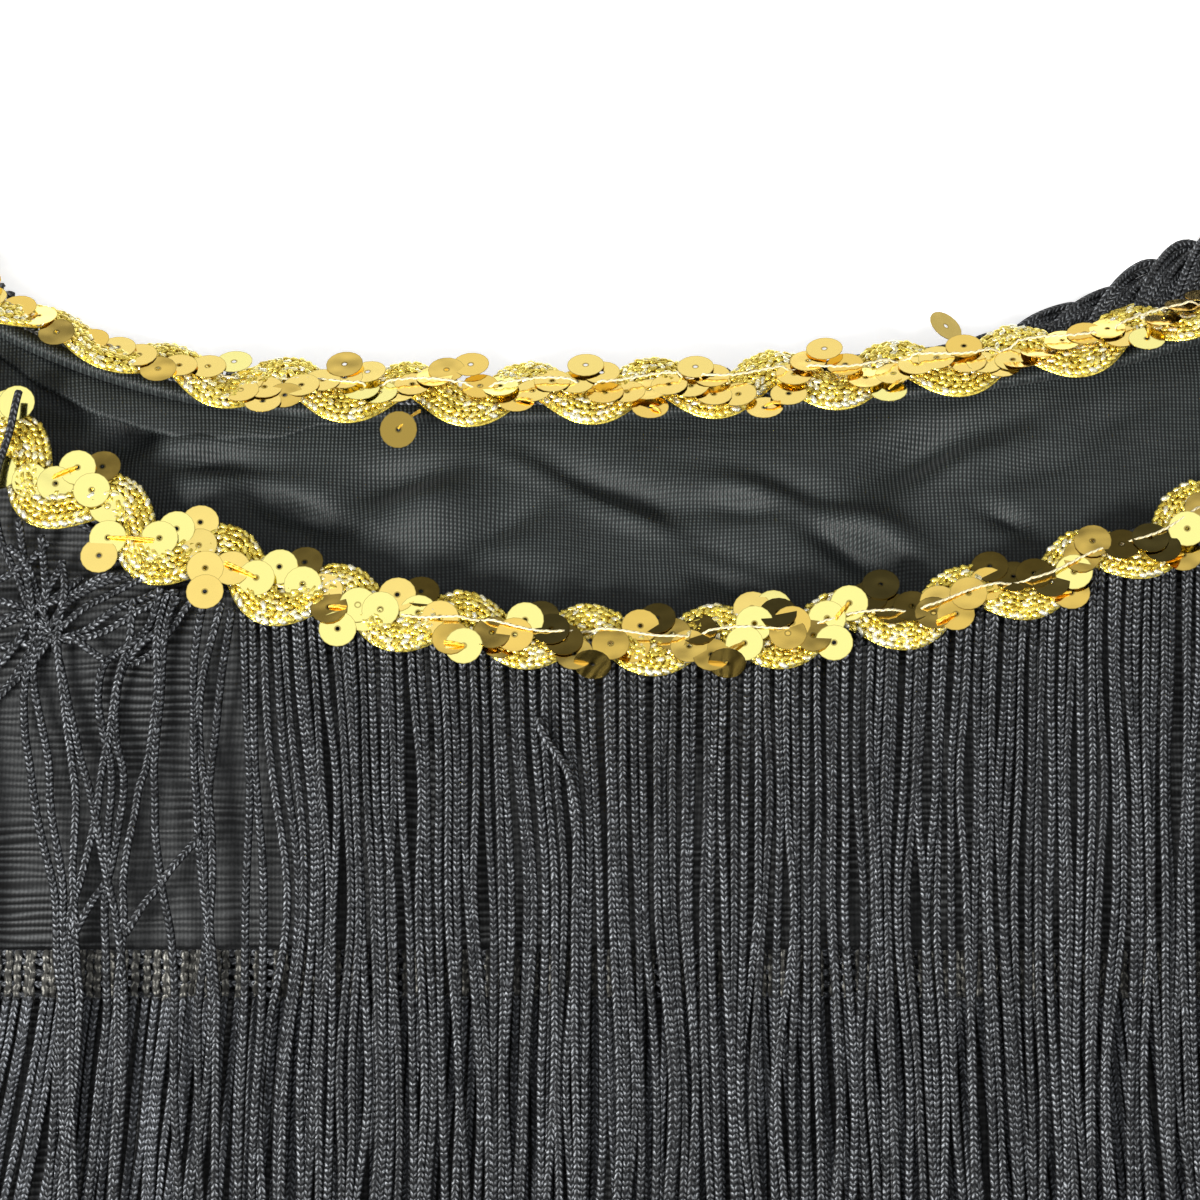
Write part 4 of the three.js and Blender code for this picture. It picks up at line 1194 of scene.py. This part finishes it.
# Each braid's first low bend, its width and its sideways tilt along the neck, as the photo shows them.
braids = {
    "front": {"path": frontPath, "place": onFrontHeading, "dip": -2.0,
              "scale": [(-185, 1.1), (-75, 1.1), (-30, 0.92), (60, 0.92), (183, 1.0)],
              "tilt": [(-110, -0.04), (-40, 0.07), (60, 0.07), (110, 0.0)]},
    "back": {"path": backPath, "place": onBackHeading, "dip": -11.7,
             "scale": [(-154, 0.95), (0, 1.0), (148, 0.95)],
             "tilt": [(-90, 0.0), (-40, -0.16), (60, -0.16), (100, 0.0)]},
}


def trimPoint(side, s, across, lift):  # on the trim, across from its own middle line
    one = braids[side]
    tilted = lift + across * easedTable(one["tilt"], s)
    return one["place"](s, across * easedTable(one["scale"], s), tilted)


def bandPoint(side, s, offset, lift):  # on the wavy band, an even distance from the wave's middle
    look = braidLooks
    turn = 2 * math.pi / look["repeat"]
    phase = (s - braids[side]["dip"]) * turn
    slope = -look["swing"] * turn * np.sin(phase)
    size = np.sqrt(1 + slope ** 2)
    bend = -look["swing"] * turn ** 2 * np.cos(phase) / size ** 3
    # On the inner side of each bend the rows crowd together.
    room = look["innerRoom"] / np.maximum(np.abs(bend), 1e-6)
    held = np.where(offset * bend > 0, np.sign(offset) * np.minimum(np.abs(offset), room), offset)
    across = look["swing"] * np.cos(phase) + held / size
    return trimPoint(side, s - held * slope / size, across, lift), np.abs(held - offset) < look["crowded"]


def grainTree():
    tree, given = growTree("lurexGrains", [
        ("Length", "Float"), ("Width", "Float"), ("Thickness", "Float"), ("Gold", "Material")])
    grain = addNode(tree, "GeometryNodeMeshUVSphere", {"Segments": 6, "Rings": 3, "Radius": 0.5})
    laid = addNode(tree, "GeometryNodeTransform", {
        "Geometry": grain.outputs["Mesh"], "Rotation": (0, math.pi / 2, 0)})
    size = addNode(tree, "ShaderNodeCombineXYZ", {
        0: given["Length"], 1: given["Width"], 2: given["Thickness"]})
    shaped = addNode(tree, "GeometryNodeTransform", {"Geometry": laid.outputs[0], "Scale": size.outputs[0]})
    return standOnPoints(tree, given, shaped.outputs[0])


def pointCloud(name, points, **attributes):  # loose points with named values, for a tree to build on
    obj = addMesh(name, points, [], [])
    for key, values in attributes.items():
        values = np.asarray(values, float)
        kind = "FLOAT_VECTOR" if values.ndim == 2 else "FLOAT"
        data = obj.data.attributes.new(key, kind, "POINT").data
        data.foreach_set("vector" if values.ndim == 2 else "value", values.ravel())
    return obj


def unit(v):
    return v / np.linalg.norm(v, axis=-1, keepdims=True)


def braidGrains(side):
    look, one = braidLooks, braids[side]
    rng = np.random.default_rng(look["seed"])
    points, ups, ways, shades = [], [], [], []
    for row in range(look["rows"]):
        part = (row + 0.5) / look["rows"] * 2 - 1  # -1 to 1 across the band
        rowPoint = lambda at, s: bandPoint(
            side, s, at * (look["half"] - 0.3), 0.3 + look["dome"] * (1 - at ** 2))
        fine = np.linspace(one["path"].start + 0.6, one["path"].end - 0.6, 4000)
        line = rowPoint(part, fine)[0]
        length = np.concatenate([[0], np.cumsum(np.linalg.norm(np.diff(line, axis=0), axis=1))])
        stops = np.arange(0.4 + (row % 2) * look["spacing"] / 2, length[-1], look["spacing"])
        s = np.interp(stops, length, fine)
        centre, clear = rowPoint(part, s)
        before, after = (np.stack([np.interp(stops + step, length, line[:, k]) for k in range(3)], -1)
                         for step in (-0.5, 0.5))
        ahead = unit(after - before)
        aside = rowPoint(part + (0.1 if part < 0 else -0.1), s)[0] - centre
        up = unit(np.cross(aside, ahead))
        up = np.where(up[:, 2:] < 0, -up, up)
        lean = math.radians(look["lean"]) * (1 if row % 2 else -1) + rng.normal(0, 0.12, len(s))
        square = np.cross(up, ahead)
        way = ahead * np.cos(lean)[:, None] + square * np.sin(lean)[:, None]
        edge = abs(part) ** 4
        points.append((centre + up * rng.normal(0, 0.10, len(s))[:, None])[clear])
        sideNod, aheadNod = rng.normal(0, 0.30, len(s))[:, None], rng.normal(0, 0.14, len(s))[:, None]
        ups.append(unit(up + square * sideNod + ahead * aheadNod)[clear])
        ways.append(way[clear])
        # The lower edge's outer cable is a paler, whiter gold.
        shade = rng.random(len(s)) ** 1.4 * 0.72 + (0.42 * edge if part > 0 else 0.10 * edge)
        shades.append(clamp01(shade)[clear])
    return (np.concatenate(v) for v in (points, ups, ways, shades))


def braidBand(side):  # the band that the grains lie on
    look, one = braidLooks, braids[side]
    s = np.linspace(one["path"].start + 0.3, one["path"].end - 0.3, 620)
    across = np.linspace(-1, 1, 9)
    rise = 0.05 + 0.85 * look["dome"] * (1 - across ** 2)
    reach = across * (look["half"] - 0.25)
    upper = np.stack([bandPoint(side, s, a, lift)[0] for a, lift in zip(reach, rise)], 1)
    lower = np.stack([bandPoint(side, s, a, -0.1)[0] for a in reach[::-1]], 1)
    rings = np.concatenate([upper, lower], 1)
    n, m = rings.shape[:2]
    index = np.arange(n * m).reshape(n, m)
    turned = np.roll(index, -1, 1)
    faces = np.stack([index[:-1], turned[:-1], turned[1:], index[1:]], -1).reshape(-1, 4).tolist()
    faces += [index[0][::-1].tolist(), index[-1].tolist()]
    band = addMesh("band", rings, [], faces)
    faceOutwards(band)
    return band


grains = grainTree()


def makeBraid(side):
    look = braidLooks
    points, ups, ways, shades = braidGrains(side)
    obj = pointCloud("braid_%s_plaits" % side, points, up=ups, way=ways, shade=shades)
    grow(obj, grains, {"Length": look["grainLength"] * mm, "Width": look["grainWidth"] * mm,
                       "Thickness": look["grainThick"] * mm, "Gold": lurex})
    band = braidBand(side)
    band.data.attributes.new("shade", "FLOAT", "POINT").data.foreach_set(
        "value", np.full(len(band.data.vertices), 0.1))
    band.data.materials.append(lurex)
    shadeSmooth(band)
    with bpy.context.temp_override(active_object=obj, selected_editable_objects=[obj, band]):
        bpy.ops.object.join()
    ridden(obj, "braid_%s_neck" % side)


makeBraid("front")
makeBraid("back")

print("stage: sequins and thread")

# Where each strung sequin lies: along the neck, across the trim, and how it catches the light. The first of
# two that overlap lies under. Past these the string goes on in the same way.
frontSequins = [
    (-115.3, -5.7, "bright"), (-114.4, -7.2, "bright"), (-108.6, 3.6, "bright"), (-103.8, 1.8, "bright"),
    (-100.2, 0, "bright"), (-95.7, -6.6, "half"), (-98.9, -4.2, "bright"), (-91.2, -1.2, "bright"),
    (-94.7, -2.1, "bright"), (-88, 6.9, "peach"), (-88.3, 3.6, "bright"), (-81.9, 3.3, "bright"),
    (-76.7, -5.4, "peach"), (-79.6, -2.7, "bright"), (-81.2, 0, "bright"), (-75.1, -1.5, "peach"),
    (-72.5, 1.8, "peach"), (-70.9, 5.7, "peach"), (-68.7, 0.3, "peach"), (-58.4, -4.8, "half"),
    (-61.9, -2.7, "bright"), (-64.5, 0.6, "bright"), (-53.9, -0.9, "peach"), (-57.4, -0.9, "bright"),
    (-50, 5.1, "bright"), (-52.3, 1.8, "half"), (-46.8, 1.5, "bright"), (-48.1, 0.3, "bright"),
    (-39.1, -4.5, "dark"), (-38.7, -0.6, "bright"), (-42.6, -3, "peach"), (-44.5, 0.3, "bright"),
    (-35.2, -0.3, "peach"), (-32.9, 3, "tan"), (-30.7, 4.2, "bright"), (-25.5, 2.4, "tan"),
    (-26.8, 1.2, "half"), (-23.3, 1.2, "tan"), (-19.7, -3, "dark"), (-22, -1.5, "bright"),
    (-17.8, -0.3, "dark"), (-15.6, 1.5, "dark"), (-13.9, 3.9, "half"), (-11.1, 5.7, "hung"),
    (-5.3, 1.5, "tan"), (-8.5, 1.8, "tan"), (-1.4, -3.6, "dark"), (-4, -2.1, "tan"), (0.9, -0.6, "half"),
    (5, -1.2, "dark"), (3.4, 1.8, "half"), (6.7, 3.6, "half"), (8.9, 5.4, "hung"), (11.8, 2.1, "bright"),
    (17, -4.2, "bright"), (13.7, -4.5, "peach"), (13.7, -1.2, "bright"), (17.6, -2.7, "dark"),
    (19.5, -0.6, "tan"), (18.6, 1.2, "tan"), (22.4, 2.1, "half"), (25.3, 3.9, "bright"),
    (25, -0.6, "bright"), (34.7, -5.7, "dark"), (32.4, -3.9, "dark"), (28.9, -2.7, "bright"),
    (35.6, -0.9, "dark"), (38.5, -0.6, "dark"), (42.7, -0.3, "half"), (41.4, 1.5, "half"),
    (44.6, 2.7, "tan"), (52.4, -4.5, "dark"), (51.1, -1.5, "tan"), (47.5, -0.3, "tan"),
    (55.3, -1.5, "dark"), (58.5, -0.9, "dark"), (62.7, 4.2, "tan"), (60.4, 1.5, "dark"),
    (64.3, 1.2, "bright"), (66.5, -0.9, "tan"), (69.1, -2.7, "tan"), (73, -0.3, "dark"),
    (77.5, 0.6, "dark"), (81, 5.1, "tan"), (78.4, 3, "dark"), (83.3, 1.8, "bright"), (88.1, -3, "dark"),
    (87.4, -0.3, "tan"),
]
backSequins = [
    (-111.8, 1.5, "peach"), (-107, 0.3, "tan"), (-103.1, 0.6, "peach"), (-98.6, 3.3, "half"),
    (-93.4, 0.9, "tan"), (-88.9, 0.3, "peach"), (-85.1, 0.6, "peach"), (-81.2, 3, "half"),
    (-78.3, 0.6, "peach"), (-73.8, -0.6, "peach"), (-67.4, 0.9, "peach"), (-69.9, -2.7, "bright"),
    (-67.7, 3.3, "peach"), (-64.1, 2.1, "peach"), (-63.8, 5.7, "peach"), (-60.6, 3.9, "half"),
    (-58.3, 1.2, "peach"), (-55.1, -0.3, "peach"), (-51.9, -4.2, "half"), (-51.6, -1.2, "peach"),
    (-48, -2.7, "peach"), (-48.7, 1.2, "bright"), (-45.8, 1.8, "bright"), (-42.3, 9, "turned"),
    (-42.9, 1.5, "peach"), (-40.6, -0.3, "peach"), (-37.1, -2.1, "peach"), (-35.2, -3.6, "half"),
    (-31.3, -4.8, "half"), (-29.7, 0, "tan"), (-26.5, 0, "bright"), (-23.9, 3.3, "tan"),
    (-21.3, 1.2, "peach"), (-18.1, -0.9, "peach"), (-14.2, -0.6, "peach"), (-12.6, -4.2, "peach"),
    (-10.1, -2.4, "peach"), (-9.7, 2.1, "tan"), (-6.2, 2.1, "peach"), (-2.7, 5.7, "tan"),
    (-2.7, 1.8, "peach"), (0.6, 0.9, "peach"), (4.1, 1.5, "peach"), (5.1, -2.7, "peach"),
    (7.6, -0.6, "peach"), (7.6, 3.6, "peach"), (11.5, 3.9, "peach"), (15.4, 7.2, "peach"),
    (19.5, 4.5, "peach"), (20.8, 0.3, "peach"), (23.4, -2.4, "peach"), (26.3, -4.8, "peach"),
    (29.2, -0.9, "tan"), (32.1, 2.4, "peach"), (35.3, 5.7, "bright"), (36.6, 2.1, "peach"),
    (40.5, 0.6, "peach"), (44, -0.3, "peach"), (46.9, -7.8, "stood"), (48.8, -2.1, "tan"),
    (48.8, 1.5, "peach"), (51.4, 2.1, "peach"), (54, 3.6, "peach"), (55.9, 2.4, "peach"),
    (57.2, 3, "edge"), (60.4, 1.5, "edge"), (64.6, 0, "peach"), (68.5, -0.6, "tan"), (72.3, -0.6, "peach"),
    (73.9, 1.8, "peach"), (77.5, 4.2, "bright"), (81.4, 0.9, "edge"), (85.5, -0.9, "edge"),
    (89.4, -1.8, "edge"),
]
sequinLooks = {
    "radius": 3.0, "hole": 0.36, "thick": 0.07, "segments": 18,
    "spacing": 2.05, "swing": 3.2, "seed": 17, "stack": 0.32, "base": 1.25, "top": 2.7,
    "leanLeft": 3.0, "spread": 1.7, "backSlope": 29.0, "backTop": 2.0,
    "touch": 5.2, "stackFade": 7.5,
}
# How far the far side tips down and how far the right side tips up, in degrees, and the shade of the foil,
# which is painted light and shade: pale yellow for the kinds that mirror bright, tan and olive for those that
# mirror dark.
sequinKinds = {
    "bright": (-3.5, 0, 0.0), "peach": (0.5, 0, 0.45), "tan": (6.5, 0, 0.75), "half": (9.0, 0, 0.7),
    "dark": (13.5, 0, 0.95), "hung": (-62.0, 0, 0.7), "stood": (21.0, -38.0, 0.9), "turned": (-16.0, 0, 0.9),
    "edge": (47.0, 0, 0.85),
}


def sequinTree():
    tree, given = growTree("strungSequins", [("Sequin", "Object"), ("Gold", "Material")])
    shape = addNode(tree, "GeometryNodeObjectInfo", {"Object": given["Sequin"]})
    return standOnPoints(tree, given, shape.outputs["Geometry"])


def discSequin():  # a flat disc with a round hole
    look = sequinLooks
    profile = [(look["radius"], 0.0), (look["hole"], 0.0), (look["hole"], -look["thick"]),
               (look["radius"], -look["thick"])]
    turn = np.arange(look["segments"]) / look["segments"] * 2 * math.pi
    rings = np.array([[(r * math.cos(a), r * math.sin(a), z) for a in turn] for r, z in profile])
    n, m = rings.shape[:2]
    index = np.arange(n * m).reshape(n, m)
    below = np.roll(index, -1, 0)
    faces = np.stack([index, below, np.roll(below, -1, 1), np.roll(index, -1, 1)], -1).reshape(-1, 4)
    obj = addMesh("discSequin", rings, [], faces.tolist())
    faceOutwards(obj)
    inward = np.repeat([(look["radius"] - r) / (look["radius"] - look["hole"]) for r, _ in profile], m)
    obj.data.attributes.new("inward", "FLOAT", "POINT").data.foreach_set("value", inward)
    obj.data.shade_flat()
    return obj


strung = sequinTree()


# The kinds that go on past the placed ones, and how often each comes.
stringOdds = {
    "front": {"bright": 0.32, "peach": 0.25, "tan": 0.18, "half": 0.10, "dark": 0.15},
    "back": {"bright": 0.15, "peach": 0.55, "tan": 0.2, "half": 0.1},
}


def strungPlaces(side):  # the placed sequins, and the plain string on both sides of them
    look, one = sequinLooks, braids[side]
    placed = frontSequins if side == "front" else backSequins
    rng = np.random.default_rng(look["seed"] + (side == "back"))
    names, odds = list(stringOdds[side]), list(stringOdds[side].values())
    rows = list(placed)
    for low, high in ((one["path"].start + 4, placed[0][0] - 2.4),
                      (placed[-1][0] + 2.4, one["path"].end - 3)):
        for s in np.arange(low, high, look["spacing"]):
            phase = (s - one["dip"]) / braidLooks["repeat"] * 2 * math.pi
            across = -look["swing"] * math.cos(phase) + rng.normal(0, 0.9)
            rows.append((s + rng.normal(0, 0.3), across, names[rng.choice(len(names), p=odds)]))
    return rows, rng


def stackLifts(rows, side):  # each sequin rests on those laid before it
    look = sequinLooks
    lifts = []
    for i, (s, across, _) in enumerate(rows):
        lift = look["base"]
        for (s2, across2, _), lift2 in zip(rows[:i], lifts):
            near = math.hypot(s - s2, across - across2)
            if near < look["touch"]:
                lift = max(lift, lift2 + look["stack"] * (1 - near / look["stackFade"]))
        lifts.append(lift)
    return np.minimum(lifts, look["top"] if side == "front" else look["backTop"])


def placeSequins(side):
    look = sequinLooks
    rows, rng = strungPlaces(side)
    s, across = np.array([r[0] for r in rows]), np.array([r[1] for r in rows])
    lift = stackLifts(rows, side)
    scaled = across / easedTable(braids[side]["scale"], s)  # the table is measured on the cloth
    centre = trimPoint(side, s, scaled, lift)
    kinds = [r[2] for r in rows]
    tips = np.array([sequinKinds[kind] for kind in kinds])
    away = np.radians(tips[:, 0] + rng.normal(0, look["spread"], len(rows)))
    if side == "back":  # these lie on the turned edge's slope
        steep = np.array([kind in stringOdds["back"] for kind in kinds])
        duller = np.array([{"half": 6.0, "tan": 1.5}.get(kind, 0.0) for kind in kinds])
        slope = look["backSlope"] - duller + rng.normal(0, look["spread"], len(rows))
        away = np.where(steep, np.radians(slope), away)
    left = np.radians(look["leanLeft"] + tips[:, 1] + rng.normal(0, look["spread"], len(rows)))
    normal = unit(np.stack([-np.sin(left), np.sin(away), np.cos(away)], -1))
    ahead = unit(trimPoint(side, s + 0.3, scaled, lift) - trimPoint(side, s - 0.3, scaled, lift))
    way = unit(np.cross(normal, np.cross(ahead, normal)))
    # Each sequin's foil shade, painted light and shade by its kind.
    shade = tips[:, 2] + rng.uniform(-0.07, 0.05, len(rows))
    return s, scaled, lift, centre, normal, way, clamp01(shade)


threadLooks = {
    "width": 0.42, "thick": 0.38, "sides": 6, "lift": 2.7, "wander": 0.6, "dip": 1.1,
    "sunk": {"front": (1.9, -32, 12), "back": (1.6, -45, 20)},  # how deep, from where and over what length
}
stitchLooks = {"width": 0.36, "thick": 0.3, "sides": 5, "arch": 0.35, "apart": 0.16}


def centreThread(side):
    look, one = threadLooks, braids[side]
    s = np.linspace(one["path"].start + 4, one["path"].end - 4, 360)
    across = look["wander"] * np.sin((s - one["dip"]) / braidLooks["repeat"] * 2 * math.pi + 0.8) - 0.3
    deep, begin, slope = look["sunk"][side]
    sunk = deep * smooth((begin - s) / slope)
    dips = smooth((np.sin(s / 2.7) - 0.72) / 0.2)  # where it goes under a sequin
    lift = look["lift"] - sunk - look["dip"] * dips + 0.12 * np.cos(s / 2.05 * 2 * math.pi)
    return trimPoint(side, s, across, lift)


# Sequins whose own stitch shows: from the hole to a point along and across from it.
shownStitches = {
    "front": [(-88.3, 3.6, 6.5, -2.6), (-64.5, 0.6, -5.5, -0.6), (-30.7, 4.2, -3.0, 0.0),
              (28.9, -2.7, -2.6, 2.6), (44.6, 2.7, -3.2, 0.8), (11.8, 2.1, -3.2, 1.6),
              (-52.3, 1.8, 2.6, -0.5), (62.7, 4.2, -3, -0.6), (81.0, 5.1, -3, -0.6),
              (-98.9, -4.2, -2.2, 3.2)],
    "back": [(-42.3, 9.0, 3.2, -4.0), (-2.7, 5.7, 1.6, 1.4), (15.4, 7.2, 2.6, -0.6), (35.3, 5.7, 2.6, -1.6),
             (-23.9, 3.3, 2.8, 0.6), (77.5, 4.2, 1.5, -2.6)],
}


def stitchLines(side, s, scaled, lift):
    look, lines = stitchLooks, []
    for s0, across0, ds, da in shownStitches[side]:
        k = int(np.argmin(np.hypot(s - s0, scaled * easedTable(braids[side]["scale"], s) - across0)))
        t = np.linspace(0, 1, 8)
        for shift in (-look["apart"], look["apart"]):
            rise = lift[k] + 0.25 + look["arch"] * np.sin(t * math.pi)
            lines.append(trimPoint(side, s[k] + ds * t, scaled[k] + da * t + shift * (0.3 + t), rise))
    return lines


def makeSequins(side, shape):
    s, scaled, lift, centre, normal, way, shade = placeSequins(side)
    obj = pointCloud("sequins_%s" % side, centre, up=normal, way=way, shade=shade)
    grow(obj, strung, {"Sequin": shape, "Gold": discGold})
    obj.data.shade_flat()  # the foil is flat, with sharp edges
    thread = growStrands("thread_%s" % side, [centreThread(side)], **threadLooks)
    stitches = growStrands("stitches_%s" % side, stitchLines(side, s, scaled, lift), **stitchLooks)
    setFinish(thread, cream)
    setFinish(stitches, amber)
    for piece in (obj, thread, stitches):
        ridden(piece)


sequinShape = discSequin()
makeSequins("front", sequinShape)
makeSequins("back", sequinShape)
bpy.data.objects.remove(sequinShape)

print("stage: declaring the cloth")

ridden(backCloth, "back_panel")
ridden(frontCloth, "front_panel")

counts = {obj.name: sum(len(p.vertices) - 2 for p in obj.data.polygons) for obj in bpy.context.scene.objects
          if obj.type == "MESH" and not obj.hide_render}
print("triangles", sum(counts.values()), "largest", max(counts, key=counts.get), max(counts.values()))
